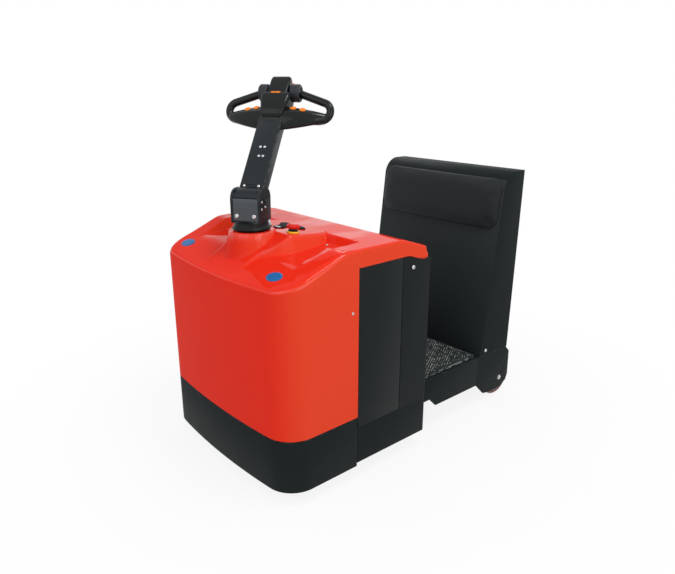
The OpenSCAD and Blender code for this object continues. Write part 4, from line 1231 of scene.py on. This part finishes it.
@dataclass
class BackrestPad:
    """Thin foam pad in grained vinyl on the backrest's face and round top, in millimetres."""

    half_w: float = 296.0
    low_z: float = 681.0
    high_z: float = 876.0
    corner_r: float = 50.0
    corner_steps: int = 10
    thick: float = 11.0
    # inset from the rim and share of the thickness of each ring of the rolled edge
    crown: Outline = ((0.0, 0.0), (0.0, 0.35), (1.2, 0.6), (3.5, 0.82), (7.0, 0.94), (12.0, 1.0), (20.0, 1.02),
                      (34.0, 1.0), (46.0, 0.99))
    core: Sequence[float] = (0.9, 0.75, 0.6, 0.45, 0.3, 0.15, 0.02)
    voxel: float = 5.0
    pressure: float = 4.0
    frames: int = 20
    cap: float = 6.0
    iron_factor: float = 0.5
    ironing: int = 45
    hold: float = 3.0
    foot_y: float = 968.0
    foot_z: float = 205.0
    lean: float = 6.6
    top_z: float = 898.0
    top_r: float = 70.0
    gap: float = 0.6

    def face(self, z: Array) -> tuple[Array, Array, Array]:
        """Finds the backrest's face.

        Args:
            z: Heights.

        Returns:
            Its place along the body, and the two parts of its outward direction.
        """
        lean = math.radians(self.lean)
        arc_z = self.top_z - self.top_r
        arc_y = self.foot_y + math.tan(lean) * (arc_z - self.foot_z) + self.top_r / math.cos(lean)
        flat = self.foot_y + math.tan(lean) * (z - self.foot_z)
        rise = np.clip((z - arc_z) / self.top_r, -1.0, 1.0)
        along = np.sqrt(1.0 - rise * rise)
        on_arc = z > arc_z + self.top_r * math.sin(lean)
        return (np.where(on_arc, arc_y - self.top_r * along, flat),
                np.where(on_arc, -along, -math.cos(lean)), np.where(on_arc, rise, math.sin(lean)))

    def swell(self, pad: Piece) -> None:
        """Blows the pad up as cloth that is held where it lies on the backrest, and smooths it.

        Args:
            pad: The pad, in place.
        """
        scene = bpy.context.scene
        remesh = pad.modifiers.new("remesh", "REMESH")
        remesh.mode, remesh.voxel_size = "VOXEL", self.voxel * MM
        self.apply(pad)
        start = np.array([v.co for v in pad.data.vertices])
        y, ny, _ = self.face(start[:, 2] / MM)
        lift = ((start[:, 1] - FRONT_Y) / MM - y) * ny
        held = pad.vertex_groups.new(name="held")
        held.add([int(i) for i in np.flatnonzero(lift < self.hold)], 1.0, "REPLACE")
        cloth = pad.modifiers.new("cloth", "CLOTH")
        cloth.settings.vertex_group_mass = "held"
        cloth.settings.use_pressure = True
        cloth.settings.uniform_pressure_force = self.pressure
        cloth.settings.effector_weights.gravity = 0.0
        cloth.point_cache.frame_start, cloth.point_cache.frame_end = 1, self.frames
        for step in range(1, self.frames + 1):
            scene.frame_set(step)
        self.apply(pad)
        scene.frame_set(1)
        moved = np.array([v.co for v in pad.data.vertices]) - start
        reach = np.linalg.norm(moved, axis=1)[:, None]
        capped = start + moved * np.minimum(1.0, self.cap * MM / np.maximum(reach, TINY * MM))
        pad.data.vertices.foreach_set("co", capped.ravel())
        iron = pad.modifiers.new("iron", "SMOOTH")
        iron.factor, iron.iterations = self.iron_factor, self.ironing
        smooth = pad.modifiers.new("smooth", "SUBSURF")
        smooth.levels = smooth.render_levels = 1
        self.apply(pad)
        pad.data.shade_smooth()

    @staticmethod
    def apply(pad: Piece) -> None:
        """Keeps the result of the pad's modifiers as its mesh and removes them.

        Args:
            pad: The pad.
        """
        graph = bpy.context.evaluated_depsgraph_get()
        made = bpy.data.meshes.new_from_object(pad.evaluated_get(graph))
        pad.modifiers.clear()
        pad.data = made

    def base(self) -> Piece:
        """Draws the pad with a crowned face and a rolled rim, a little thinner than it ends up.

        Returns:
            The pad before it is swollen.
        """
        mid_z, half_h = (self.low_z + self.high_z) / 2, (self.high_z - self.low_z) / 2
        rim = np.array(rounded_rect(2 * self.half_w, 2 * half_h, self.corner_r, self.corner_steps))
        flat = np.array([self.half_w - self.corner_r, half_h - self.corner_r])
        into = inward(rim, -flat, flat)
        inner, top = self.crown[-1]
        back = [(rim * share, 0.0) for share in reversed(self.core)]
        edge = [(rim + into * inset, height) for inset, height in self.crown]
        front = [((rim + into * inner) * share, top) for share in self.core]
        rings = []
        for p, height in [*back, *edge, *front]:
            y, ny, nz = self.face(p[:, 1] + mid_z)
            lift = self.gap + self.thick * height
            rings.append(np.column_stack([p[:, 0], y + ny * lift, p[:, 1] + mid_z + nz * lift]))
        draft = Draft()
        draft.loft(np.array(rings))
        return draft.build("backrest_cushion")

    def dress(self) -> None:
        """Builds the pad, swells it and dresses it."""
        pad = self.base()
        self.swell(pad)
        settle(pad, PAD_VINYL, Body.CHASSIS, "backrest_pad")


@dataclass(frozen=True)
class Slice:
    """Rounded section across the tiller: its height, half width, front, back and corner radius."""

    z: float
    half_w: float
    front: float
    back: float
    r: float

    def ring(self) -> list[Point]:
        """Points of the section."""
        mid = (self.front + self.back) / 2
        return [(x, mid + y, self.z) for x, y in rounded_rect(2 * self.half_w, self.back - self.front, self.r)]


@dataclass
class Handle:
    """Tiller with its arm, swept wing, hand loops, thumb wheels and control head, in the tiller's millimetres."""

    half_w: float = 175.0
    wing_top: float = 357.0
    wing_low: float = 266.0
    wing_y: float = -1.0
    low_power: float = 1.7
    tip_z: float = 340.0
    tip_r: float = 12.0
    # share of the half width at which the tip starts to close, and the span in which it would close
    tip_from: float = 0.94
    tip_span: float = 0.0605
    tip_least: float = 0.02
    sweep: float = 34.0
    depth: float = 21.0
    section: Outline = ((-0.35, 1.05), (-0.95, 0.62), (-1.2, 0.24), (-1.2, 0.2), (-0.85, -0.5), (-0.15, -1.15),
                        (0.65, -0.95), (1.05, -0.2), (0.95, 0.65), (0.35, 1.05))
    section_points: int = 44
    sections: int = 65
    loop_y: float = 33.0
    loop_z: float = 352.0
    loop_r: float = 13.0
    loop_tilt: float = 20.0
    loop_drop: float = 19.0
    loop_turn: float = 150.0
    loop_overlap: float = 0.4
    loop_lead: float = 4.0
    bend_x: float = 147.0
    bend_y: float = 12.0
    bend_r: float = 30.0
    tail_lead: float = 24.0
    tail_from: float = 0.12
    tail_end: Point = (106.0, 9.0, 316.0)
    # points of a loop's straight part, bend and tail, and round its tube
    loop_points: tuple[int, int, int, int] = (10, 30, 9, 24)
    thumb_x: float = 38.6
    thumb_w: float = 32.4
    thumb_r: float = 29.0
    thumb_y: float = 5.0
    thumb_z: float = 418.5
    thumb_chamfer: float = 4.0
    thumb_ease: float = 1.6
    dish: float = 3.0
    dish_shares: Spot = (0.55, 0.5)
    flutes: int = 30
    flute_steps: int = 4
    flute_depth: float = 0.6
    flute_margin: float = 5.0
    plates: Outline = ((34.5, 42.0), (43.5, 285.0))
    plate_w: float = 74.0
    plate_t: float = 2.6
    plate_y: float = -18.7
    plate_ease: float = 1.1
    button_x: Sequence[float] = (63.0, 94.0)
    button_z: float = 345.0
    button_oval: Spot = (1.22, 1.1)
    button_dome: Outline = ((9.0, -3.0), (9.0, 1.0), (8.3, 2.4), (6.2, 3.6), (3.2, 4.3), (0.0, 4.5))
    button_steps: int = 28
    horn_at: Point = (0.0, -31.0, 391.0)
    horn_aim: Point = (0.0, -0.55, 0.84)
    # width, height and corner radius of the horn button, its start and end, and the width and segments of its rim
    horn_size: Point = (34.0, 10.0, 4.9)
    horn_reach: Spot = (-3.0, 2.6)
    horn_rim: tuple[float, int] = (1.2, 3)
    belly_rim: tuple[float, int] = (6.0, 4)
    arm_rim: tuple[float, int] = (2.0, 3)
    house: Sequence[Slice] = (
        Slice(302.0, 31.0, -19.0, 10.0, 8.0), Slice(312.0, 37.0, -29.0, 22.0, 10.0),
        Slice(330.0, 41.0, -32.0, 25.0, 11.0), Slice(352.0, 46.0, -33.5, 26.0, 12.0),
        Slice(370.0, 50.0, -34.5, 26.5, 12.0), Slice(384.0, 50.5, -34.5, 26.5, 12.0),
        Slice(390.0, 49.5, -33.5, 25.5, 11.0), Slice(393.0, 46.0, -30.0, 22.0, 9.0))
    head: Sequence[Slice] = (
        Slice(384.0, 34.5, -23.0, 7.0, 7.0), Slice(396.0, 34.5, -24.0, 7.5, 8.0), Slice(444.0, 35.0, -24.5, 8.0, 8.0),
        Slice(458.0, 34.5, -24.0, 8.0, 9.0), Slice(465.0, 33.0, -22.0, 6.5, 9.0), Slice(468.5, 29.0, -18.0, 3.0, 8.0))

    def wing_ring(self, s: float) -> Array:
        """Draws a section of the wing.

        Args:
            s: Share of the wing's half width, from -1 to 1.

        Returns:
            The section's points, across the arm and along it.
        """
        u = abs(s)
        section = spline_ring(self.section, self.section_points)
        turn = np.arctan2(section[:, 1], section[:, 0])
        disc = np.column_stack([np.cos(turn), np.sin(turn)])
        past = max((u - self.tip_from) / self.tip_span, 0.0)
        close = math.sqrt(max(1.0 - past ** 2, self.tip_least ** 2))
        top = self.wing_top + (self.tip_z + self.tip_r - self.wing_top) * u * u
        low = self.wing_low + (self.tip_z - self.tip_r - self.wing_low) * u ** self.low_power
        half = np.array([self.depth + (self.tip_r - self.depth) * u * u, (top - low) / 2]) * close
        return (section + (disc - section) * u ** 3) * half + [self.sweep * u * u + self.wing_y, (top + low) / 2]

    def wing(self) -> Piece:
        """Draws the wing as sections swept from tip to tip.

        Returns:
            The wing.
        """
        rings = []
        for s in np.sin(np.linspace(-math.pi / 2, math.pi / 2, self.sections)):
            ring = self.wing_ring(s)
            rings.append(np.column_stack([np.full(len(ring), s * self.half_w), ring]))
        draft = Draft()
        draft.loft(np.array(rings))
        return draft.build("handle_wing_swept", LAYOUT.tiller(), sharp=60.0)

    def loop_point(self, x: float, y: float) -> Point:
        """Place of a point of the loop's own plane."""
        tilt = math.radians(self.loop_tilt)
        return x, self.loop_y - math.sin(tilt) * y, self.loop_z + math.cos(tilt) * y

    def loops(self) -> Piece:
        """Draws both hand loops as bent tubes that run into the wing.

        Returns:
            The loops.
        """
        draft = Draft()
        drop = math.radians(self.loop_drop)
        lead_points, bend_points, tail_points, round_points = self.loop_points
        arc = math.pi / 2 - drop - np.radians(np.linspace(0, self.loop_turn, bend_points))
        bend = [(self.bend_x + self.bend_r * math.cos(a), self.bend_y + self.bend_r * math.sin(a)) for a in arc]
        out = Vector((math.cos(drop), -math.sin(drop)))
        reach = (bend[0][0] - self.thumb_x - self.thumb_w) / out.x - self.loop_overlap
        lead = [tuple(Vector(bend[0]) - out * t) for t in np.linspace(reach, self.loop_lead, lead_points)]
        for side in SIDES:
            path = [Vector(self.loop_point(side * x, y)) for x, y in [*lead, *bend]]
            last = path[-1]
            mid = last + (last - path[-2]).normalized() * self.tail_lead
            end = Vector((side * self.tail_end[0], *self.tail_end[1:]))
            path += [curve(last, mid, end, t) for t in np.linspace(self.tail_from, 1.0, tail_points)]
            draft.tube(path, self.loop_r, round_points)
        return draft.build("hand_loops_smooth", LAYOUT.tiller(), sharp=60.0)

    def thumb_wheels(self) -> Piece:
        """Draws both ribbed thumb wheels.

        Returns:
            The wheels.
        """
        draft = Draft()
        r, w, c, deep = self.thumb_r, self.thumb_w, self.thumb_chamfer, self.thumb_w - self.dish
        rim, hub = (r * share for share in self.dish_shares)
        outline = eased_outline([(0, 0), (r - c, 0), (r, c), (r, w - c), (r - c, w), (rim, w), (hub, deep), (0, deep)],
                                self.thumb_ease, closed=False)
        steps = self.flute_steps * self.flutes

        def flute(t: float, h: float) -> float:
            """Change of radius in the grooves, away from the rims."""
            groove = round(t * steps) % self.flute_steps < 1
            return -self.flute_depth if groove and self.flute_margin < h < w - self.flute_margin else 0.0

        for side in SIDES:
            at = axis_frame((side * self.thumb_x, self.thumb_y, self.thumb_z), (side, 0, 0))
            draft.lathe(outline, at, steps, flute)
        return draft.build("thumb_wheels_ribbed", LAYOUT.tiller(), sharp=35.0)

    def control_head(self) -> Piece:
        """Draws the housing with its ledge and the raised block behind it.

        Returns:
            The control head.
        """
        draft = Draft()
        for slices in (self.house, self.head):
            draft.loft(np.array([piece.ring() for piece in slices]))
        return draft.build("control_head_moulded", LAYOUT.tiller(), sharp=50.0)

    def buttons(self) -> Piece:
        """Draws the oval push buttons on the wing and the horn button on the ledge.

        Returns:
            The buttons.
        """
        draft = Draft()
        for x in self.button_x:
            ring = self.wing_ring(x / self.half_w)
            front = ring[:, 0] < ring[:, 0].mean()
            i = int(np.argmin(np.where(front, np.abs(ring[:, 1] - self.button_z), np.inf)))
            along = ring[(i + 1) % len(ring)] - ring[i - 1]
            normal = np.array([along[1], -along[0]])
            normal *= -np.sign(normal[0])
            for side in SIDES:
                seat = axis_frame((side * x, *ring[i]), (0.0, *normal))
                draft.lathe(self.button_dome, seat @ Matrix.Diagonal((*self.button_oval, 1.0, 1.0)), self.button_steps)
        ledge = axis_frame(self.horn_at, self.horn_aim)
        draft.prism(rounded_rect(*self.horn_size), *self.horn_reach, ledge, *self.horn_rim)
        return draft.build("push_buttons", LAYOUT.tiller(), sharp=50.0)

    def arm_plates(self) -> Piece:
        """Draws the cover plate and the foot plate on the arm's front.

        Returns:
            The plates.
        """
        draft = Draft()
        for low, high in self.plates:
            size = (self.plate_w, self.plate_t, high - low)
            draft.block(size, (0.0, self.plate_y, (low + high) / 2), self.plate_ease)
        return draft.build("arm_cover_plates", LAYOUT.tiller())

    def dress(self) -> None:
        """Builds and dresses the handle's pieces."""
        settle(self.wing(), HANDLE_BLACK, Body.TILLER, "handle_wing")
        settle(self.loops(), HANDLE_BLACK, Body.TILLER, "hand_loops")
        settle(self.thumb_wheels(), GREY_MOULDED, Body.TILLER, "thumb_wheels")
        settle(self.control_head(), HANDLE_BLACK, Body.TILLER, "control_head")
        settle(self.buttons(), BUTTON_ORANGE, Body.TILLER, "handle_buttons")
        settle(eased_copy("belly_switch", *self.belly_rim), STOP_RED, Body.TILLER, "belly_switch")
        settle(eased_copy("tiller_arm", *self.arm_rim), BLACK_SATIN, Body.TILLER, "tiller_arm")
        settle(self.arm_plates(), BLACK_SATIN, Body.TILLER)


@dataclass
class SteeringHead:
    """Collar, hinge box and column over the hood, and the drive unit below it, in the steering unit's millimetres."""

    collar_z: float = 777.0
    collar_outline: Outline = ((33.0, 0.0), (60.0, 0.0), (60.0, 4.0), (57.0, 7.0), (53.5, 12.0), (52.0, 17.0),
                               (52.0, 21.0), (33.0, 21.0))
    collar_ease: float = 2.0
    collar_steps: int = 72
    base_z: float = 798.0
    base_t: float = 10.0
    base_inset: Spot = (1.0, 2.0)
    base_ease: float = 1.5
    cheek_r: float = 44.2
    cheek_in: float = 40.5
    cheek_out: float = 47.9
    cheek_rim: tuple[float, int] = (1.6, 3)
    plate_front: float = -43.2
    plate_t: float = 3.4
    plate_top: float = 873.0
    plate_ease: float = 1.1
    visor_r: float = 43.2
    visor_t: float = 2.8
    visor_from: float = 18.5
    visor_to: float = 39.0
    visor_points: int = 14
    arch_h: float = 38.0
    arch_power: float = 2.5
    arch_points: int = 41
    # solids that keep their shape: width of their rounding, finish and body
    copies: Sequence[tuple[str, float, Finish, Body]] = (
        ("pivot_pin", 0.8, BLACK_SATIN, Body.STEERING), ("steering_column", 1.0, BLACK_SATIN, Body.STEERING),
        ("turntable", 1.0, CAST_GREY, Body.STEERING), ("drive_gearcase", 1.0, CAST_GREY, Body.STEERING),
        ("drive_motor", 1.0, CAST_GREY, Body.STEERING), ("drive_axle", 1.0, BRIGHT_STEEL, Body.STEERING),
        ("turntable_ring", 1.0, CAST_GREY, Body.CHASSIS))

    def hinge_box(self) -> Piece:
        """Draws the two round-topped cheeks, the base between them and the visor over the knuckle.

        Returns:
            The hinge box.
        """
        draft = Draft()
        r, z = self.cheek_r, LAYOUT.pivot_z
        bow = 2 / self.arch_power
        turns = [(math.cos(a), max(math.sin(a), 0.0)) for a in np.linspace(0, math.pi, self.arch_points)]
        arch = [(r * math.copysign(abs(c) ** bow, c), z + self.arch_h * h ** bow) for c, h in turns]
        cheek = [(r, self.base_z), *arch, (-r, self.base_z)]
        for low, high in ((self.cheek_in, self.cheek_out), (-self.cheek_out, -self.cheek_in)):
            draft.prism(cheek, low, high, ACROSS, *self.cheek_rim)
        size = (2 * self.cheek_out - self.base_inset[0], 2 * r - self.base_inset[1], self.base_t)
        draft.block(size, (0, 0, self.base_z + self.base_t / 2), self.base_ease)
        sweep = np.radians(180 - np.linspace(self.visor_from, self.visor_to, self.visor_points))
        visor = [(reach * math.cos(a), z + reach * math.sin(a))
                 for reach, turns in ((self.visor_r, sweep), (self.visor_r - self.visor_t, sweep[::-1])) for a in turns]
        draft.prism(visor, -self.cheek_in, self.cheek_in, ACROSS)
        return draft.build("hinge_box_formed", LAYOUT.steering())

    def hinge_cover(self) -> Piece:
        """Draws the front plate.

        Returns:
            The plate.
        """
        draft = Draft()
        size = (2 * self.cheek_in, self.plate_t, self.plate_top - self.base_z)
        draft.block(size, (0, self.plate_front + size[1] / 2, self.base_z + size[2] / 2), self.plate_ease)
        return draft.build("hinge_cover", LAYOUT.steering())

    def dress(self) -> None:
        """Builds and dresses the steering pieces."""
        draft = Draft()
        outline = eased_outline(self.collar_outline, self.collar_ease)
        draft.lathe(outline, Matrix.Translation((0, 0, self.collar_z)), self.collar_steps)
        settle(draft.build("collar_flared", LAYOUT.steering()), BLACK_MOULDED, Body.STEERING, "steering_collar")
        settle(self.hinge_box(), BLACK_SATIN, Body.STEERING, "hinge_box")
        # the front plate's bluer, brighter black is a painted reflection
        settle(self.hinge_cover(), BLACK_PAINTED_SHEEN, Body.STEERING)
        for node, ease, finish, body in self.copies:
            settle(eased_copy(node, ease), finish, body, node)


@dataclass
class Chassis:
    """Skirt, panels, platform, backrest, brackets and tow jaw: the rounding and finish of each solid."""

    copies: Sequence[tuple[str, float, Finish]] = (
        ("front_skirt", 3.0, BLACK_POWDER), ("battery_panel_right", 1.5, BLACK_PANEL),
        ("battery_panel_left", 1.5, BLACK_PANEL), ("bulkhead", 1.5, BLACK_PANEL), ("platform_frame", 1.5, BLACK_POWDER),
        ("backrest_shell", 2.5, BLACK_POWDER), ("wheel_bracket_right", 1.5, BLACK_POWDER),
        ("wheel_bracket_left", 1.5, BLACK_POWDER), ("tow_jaw", 2.0, BLACK_POWDER), ("chassis_frame", 1.0, BLACK_POWDER),
        ("rear_axle_right", 0.8, BRIGHT_STEEL), ("rear_axle_left", 0.8, BRIGHT_STEEL), ("tow_pin", 0.8, BRIGHT_STEEL),
        ("battery", 4.0, BATTERY_CASE))
    # solid whose front faces get the lighter black of painted light
    light_painted_shell: str = "backrest_shell"
    light_painted_facing: float = -0.8

    def paint_front_light(self, shell: Piece) -> None:
        """Gives the backrest's front its own lighter matt black, which paints light into the shade there.

        Args:
            shell: The backrest's shell.
        """
        shell.data.materials.append(BLACK_PAINTED_LIGHT_FRONT.material())
        for face in shell.data.polygons:
            if face.normal.y < self.light_painted_facing:
                face.material_index = 1

    def dress(self) -> None:
        """Builds and dresses the steel work and the battery."""
        for node, ease, finish in self.copies:
            piece = settle(eased_copy(node, ease), finish, Body.CHASSIS, node)
            if node == self.light_painted_shell:
                self.paint_front_light(piece)


@dataclass
class Console:
    """Controls on the console behind the steering column, in millimetres."""

    top_z: float = 768.0
    top_y: float = 209.0
    pitch: float = 5.19
    insert: Outline = ((-64.0, 324.0), (-56.0, 337.0), (38.0, 333.0), (67.0, 318.0), (64.0, 305.0), (48.0, 298.0),
                       (6.0, 296.0), (16.0, 276.0), (23.0, 262.0), (20.0, 247.0), (6.0, 239.0), (-10.0, 244.0),
                       (-18.0, 262.0), (-32.0, 290.0), (-58.0, 306.0))
    insert_corner: float = 9.0
    insert_reach: Spot = (-0.6, 3.0)
    insert_rim: float = 0.9
    highlight_at: Spot = (4.0, 254.0)
    highlight_size: Point = (24.0, 13.0, 6.0)
    highlight_reach: Spot = (2.6, 3.8)
    highlight_rim: float = 0.5
    key_ease: float = 0.8
    stop_at: Spot = (94.0, 247.0)
    # radius and height of the points of the emergency stop's ring, neck and mushroom
    stop_ring: Outline = ((10.5, 0.2), (20.0, 0.2), (20.0, 2.6), (18.4, 4.4), (10.5, 5.0))
    stop_neck: Outline = ((0.0, 4.0), (15.5, 4.0), (15.5, 6.0), (14.0, 7.5), (13.0, 14.0), (0.0, 14.0))
    stop_cap: Outline = ((0.0, 12.5), (17.0, 12.5), (21.0, 16.0), (21.0, 22.5), (16.0, 27.0), (8.4, 28.6), (0.0, 28.6))
    stop_ease: float = 2.6

    def seat(self, x: float, y: float) -> Matrix:
        """Finds a place on the sloping console top.

        Args:
            x: Place across.
            y: Place along.

        Returns:
            Matrix of the place, its z axis out of the top.
        """
        slope = math.radians(self.pitch)
        z = self.top_z - (y - self.top_y) * math.tan(slope)
        return Matrix.Translation((x, y, z)) @ Matrix.Rotation(-slope, 4, "X")

    def plate(self, name: str, outline: Outline, reach: Spot, at: Matrix, rim: float) -> Piece:
        """Draws a flat piece on the console top.

        Args:
            name: Name of the piece.
            outline: Its closed outline.
            reach: Its start and end over the top.
            at: Matrix of its place.
            rim: Width of the rounding on its rims.

        Returns:
            The piece.
        """
        draft = Draft()
        draft.prism(outline, *reach, at, rim)
        return draft.build(name)

    def dress(self) -> None:
        """Builds and dresses the console's controls."""
        mid_y = self.insert[0][1]
        plan = eased_outline([(x, y - mid_y) for x, y in self.insert], self.insert_corner)
        panel = self.plate("console_panel_swept", plan, self.insert_reach, self.seat(0.0, mid_y), self.insert_rim)
        settle(panel, CONSOLE_BLACK, Body.CHASSIS, "console_insert")
        # a pale strip on the console's insert, painted as a highlight
        strip_outline = rounded_rect(*self.highlight_size)
        highlight_strip = self.plate("console_painted_highlight", strip_outline, self.highlight_reach, self.seat(*self.highlight_at), self.highlight_rim)
        settle(highlight_strip, PALE_PAINTED_HIGHLIGHT, Body.CHASSIS)
        settle(eased_copy("key_switch", self.key_ease), BRIGHT_STEEL, Body.CHASSIS, "key_switch")
        cap = eased_outline(self.stop_cap, self.stop_ease, closed=False)
        for name, outline, steps, finish, nodes in (
                ("stop_ring", self.stop_ring, 48, RING_YELLOW, ["stop_collar"]),
                ("stop_neck", self.stop_neck, 36, BLACK_MOULDED, []),
                ("stop_mushroom", cap, 48, STOP_RED, ["stop_button"])):
            draft = Draft()
            draft.lathe(outline, self.seat(*self.stop_at), steps)
            settle(draft.build(name), finish, Body.CHASSIS, *nodes)


@dataclass
class Wheels:
    """Drive wheel and the two rear wheels, in millimetres."""

    drive_at: Point = (0.0, 0.0, 115.0)
    drive_d: float = 230.0
    drive_w: float = 75.0
    rear_at: Point = (263.0, 1106.0, 76.0)
    rear_d: float = 152.0
    rear_w: float = 50.0
    tread: float = 14.0
    crown: float = 5.0
    ease: float = 2.5
    hub_ease: float = 1.0
    steps: int = 64

    def tyre(self, name: str, at: Matrix, d: float, w: float) -> Piece:
        """Draws one polyurethane tyre.

        Args:
            name: Name of the piece.
            at: Matrix of the wheel's middle, its x axis along the axle.
            d: Diameter.
            w: Width.

        Returns:
            The tyre.
        """
        r, half = d / 2, w / 2
        side = [(r - self.tread, -half), (r - self.crown, -half), (r, self.crown - half)]
        outline = eased_outline([*side, *((x, -h) for x, h in reversed(side))], self.ease)
        draft = Draft()
        draft.lathe([*outline, outline[0]], at @ Matrix.Rotation(math.pi / 2, 4, "Y"), self.steps)
        return draft.build(name, Matrix.Identity(4))

    def dress(self) -> None:
        """Builds and dresses the wheels."""
        x, y, z = self.rear_at
        for label, station, place, d, w, body in (
                ("", LAYOUT.steering(), self.drive_at, self.drive_d, self.drive_w, Body.DRIVE_WHEEL),
                ("_right", LAYOUT.vehicle(), (x, y, z), self.rear_d, self.rear_w, Body.REAR_RIGHT),
                ("_left", LAYOUT.vehicle(), (-x, y, z), self.rear_d, self.rear_w, Body.REAR_LEFT)):
            kind = "rear" if label else "drive"
            tyre = self.tyre(f"{kind}_tyre{label}_smooth", station @ Matrix.Translation(place), d, w)
            settle(tyre, POLYURETHANE, body, f"{kind}_tyre{label}")
            settle(eased_copy(f"{kind}_hub{label}", self.hub_ease), CAST_GREY, body, f"{kind}_hub{label}")


@dataclass(frozen=True)
class Lamp:
    """Soft square lamp: its place and aim in metres, size and power."""

    name: str
    at: Point
    aim: Point
    size: float
    power: float

    def hang(self) -> None:
        """Adds the lamp, which isn't seen itself."""
        data = bpy.data.lights.new(self.name, "AREA")
        data.energy, data.size = self.power, self.size
        made = bpy.data.objects.new(self.name, data)
        made.location = self.at
        made.rotation_euler = (Vector(self.at) - Vector(self.aim)).to_track_quat("Z", "Y").to_euler()
        made.visible_camera = False
        bpy.context.scene.collection.objects.link(made)


@dataclass
class Studio:
    """Pale floor, soft lights and the camera, in metres."""

    camera_at: Point = (1.621, -1.5085, 1.205)
    camera_back: Point = (0.7199, -0.6214, 0.309)
    lens: float = 33.65
    sensor: float = 36.0
    floor_half: float = 30.0
    floor_tone: float = 0.86
    near_lift: float = 0.87
    near_reach: float = 0.55
    far_reach: float = 1.6
    fill: float = 0.66
    lamps: Sequence[Lamp] = (
        Lamp("key", (0.4, -3.1, 2.6), (0.0, 0.0, 0.5), 2.6, 20.0),
        Lamp("side", (3.2, -0.4, 2.0), (0.0, 0.0, 0.5), 2.0, 22.0),
        Lamp("overhead", (1.0, 0.0, 3.0), (0.2, -0.3, 0.7), 0.75, 22.0),
        Lamp("glint", (-2.6, 1.9, 2.9), (0.1, -0.3, 0.9), 0.5, 8.0))

    def camera(self) -> None:
        """Places the camera where the photograph was taken."""
        data = bpy.data.cameras.new("camera")
        data.lens, data.sensor_width = self.lens, self.sensor
        made = bpy.data.objects.new("camera", data)
        made.location = self.camera_at
        made.rotation_euler = Vector(self.camera_back).to_track_quat("Z", "Y").to_euler()
        bpy.context.scene.collection.objects.link(made)
        bpy.context.scene.camera = made

    @staticmethod
    def seen(tree: Tree) -> Socket:
        """Marks the rays that show the background: camera, glossy and transmission.

        Args:
            tree: The node tree.

        Returns:
            The mark, 0 or 1.
        """
        path = tree.nodes.new("ShaderNodeLightPath")
        mask = Effects.math(tree, "MAXIMUM", path.outputs["Is Camera Ray"], path.outputs["Is Transmission Ray"])
        return Effects.math(tree, "MAXIMUM", mask, path.outputs["Is Glossy Ray"])

    @staticmethod
    def blend(tree: Tree, share: Socket, under: Socket, over: Socket) -> Socket:
        """Mixes two shaders.

        Args:
            tree: The node tree.
            share: Share of the second shader.
            under: First shader.
            over: Second shader.

        Returns:
            The mixed shader.
        """
        mix = tree.nodes.new("ShaderNodeMixShader")
        for socket, value in zip(mix.inputs, (share, under, over)):
            tree.links.new(value, socket)
        return mix.outputs[0]

    def floor(self) -> None:
        """Lays a pale floor that keeps the shadow, turns white away from the vehicle and is open from below."""
        draft = Draft()
        h = self.floor_half
        draft.sheet(np.array([[(-h, -h, 0), (h, -h, 0)], [(-h, h, 0), (h, h, 0)]]))
        made = draft.build("floor", Matrix.Identity(4))
        material = bpy.data.materials.new("pale_floor")
        material.use_nodes = True
        tree = material.node_tree
        tree.nodes.clear()
        matt = tree.nodes.new("ShaderNodeBsdfDiffuse")
        matt.inputs["Color"].default_value = (self.floor_tone, self.floor_tone, self.floor_tone, 1.0)
        away = tree.nodes.new("ShaderNodeVectorMath")
        away.operation = "LENGTH"
        place = tree.nodes.new("ShaderNodeNewGeometry")
        tree.links.new(place.outputs["Position"], away.inputs[0])
        lift = tree.nodes.new("ShaderNodeMapRange")
        lift.interpolation_type = "SMOOTHSTEP"
        for key, value in zip(("From Min", "From Max", "To Min", "To Max"),
                              (self.near_reach, self.far_reach, self.near_lift, 1.0)):
            lift.inputs[key].default_value = value
        tree.links.new(away.outputs["Value"], lift.inputs["Value"])
        share = Effects.math(tree, "MULTIPLY", self.seen(tree), lift.outputs["Result"])
        top = self.blend(tree, share, matt.outputs[0], tree.nodes.new("ShaderNodeEmission").outputs[0])
        clear = tree.nodes.new("ShaderNodeBsdfTransparent").outputs[0]
        both = self.blend(tree, place.outputs["Backfacing"], top, clear)
        tree.links.new(both, tree.nodes.new("ShaderNodeOutputMaterial").inputs["Surface"])
        made.data.materials.append(material)

    def world(self) -> None:
        """Fills the room with soft light and shows white to the camera and to reflections."""
        world = bpy.data.worlds.new("studio")
        bpy.context.scene.world = world
        world.use_nodes = True
        tree = world.node_tree
        back = tree.nodes["Background"]
        back.inputs["Color"].default_value = (1.0, 1.0, 1.0, 1.0)
        strength = tree.nodes.new("ShaderNodeMix")
        # a Mix node holds its numbers in the sockets 2 and 3
        for socket, value in zip(strength.inputs[2:4], (self.fill, 1.0)):
            socket.default_value = value
        tree.links.new(self.seen(tree), strength.inputs[0])
        tree.links.new(strength.outputs[0], back.inputs["Strength"])

    def dress(self) -> None:
        """Sets up the studio."""
        self.camera()
        self.floor()
        self.world()
        for lamp in self.lamps:
            lamp.hang()
        bpy.context.scene.view_settings.view_transform = "Standard"


def main() -> None:
    """Builds the studio and every sub-assembly in order."""
    logging.basicConfig(level=logging.INFO, format="%(message)s")
    for part in (Studio(), HoodShell(), Chassis(), PlatformMat(), BackrestPad(), Console(), SteeringHead(), Handle(),
                 Wheels(), Fasteners()):
        LOG.info("building %s", type(part).__name__)
        part.dress()


if __name__ == "__main__":
    main()
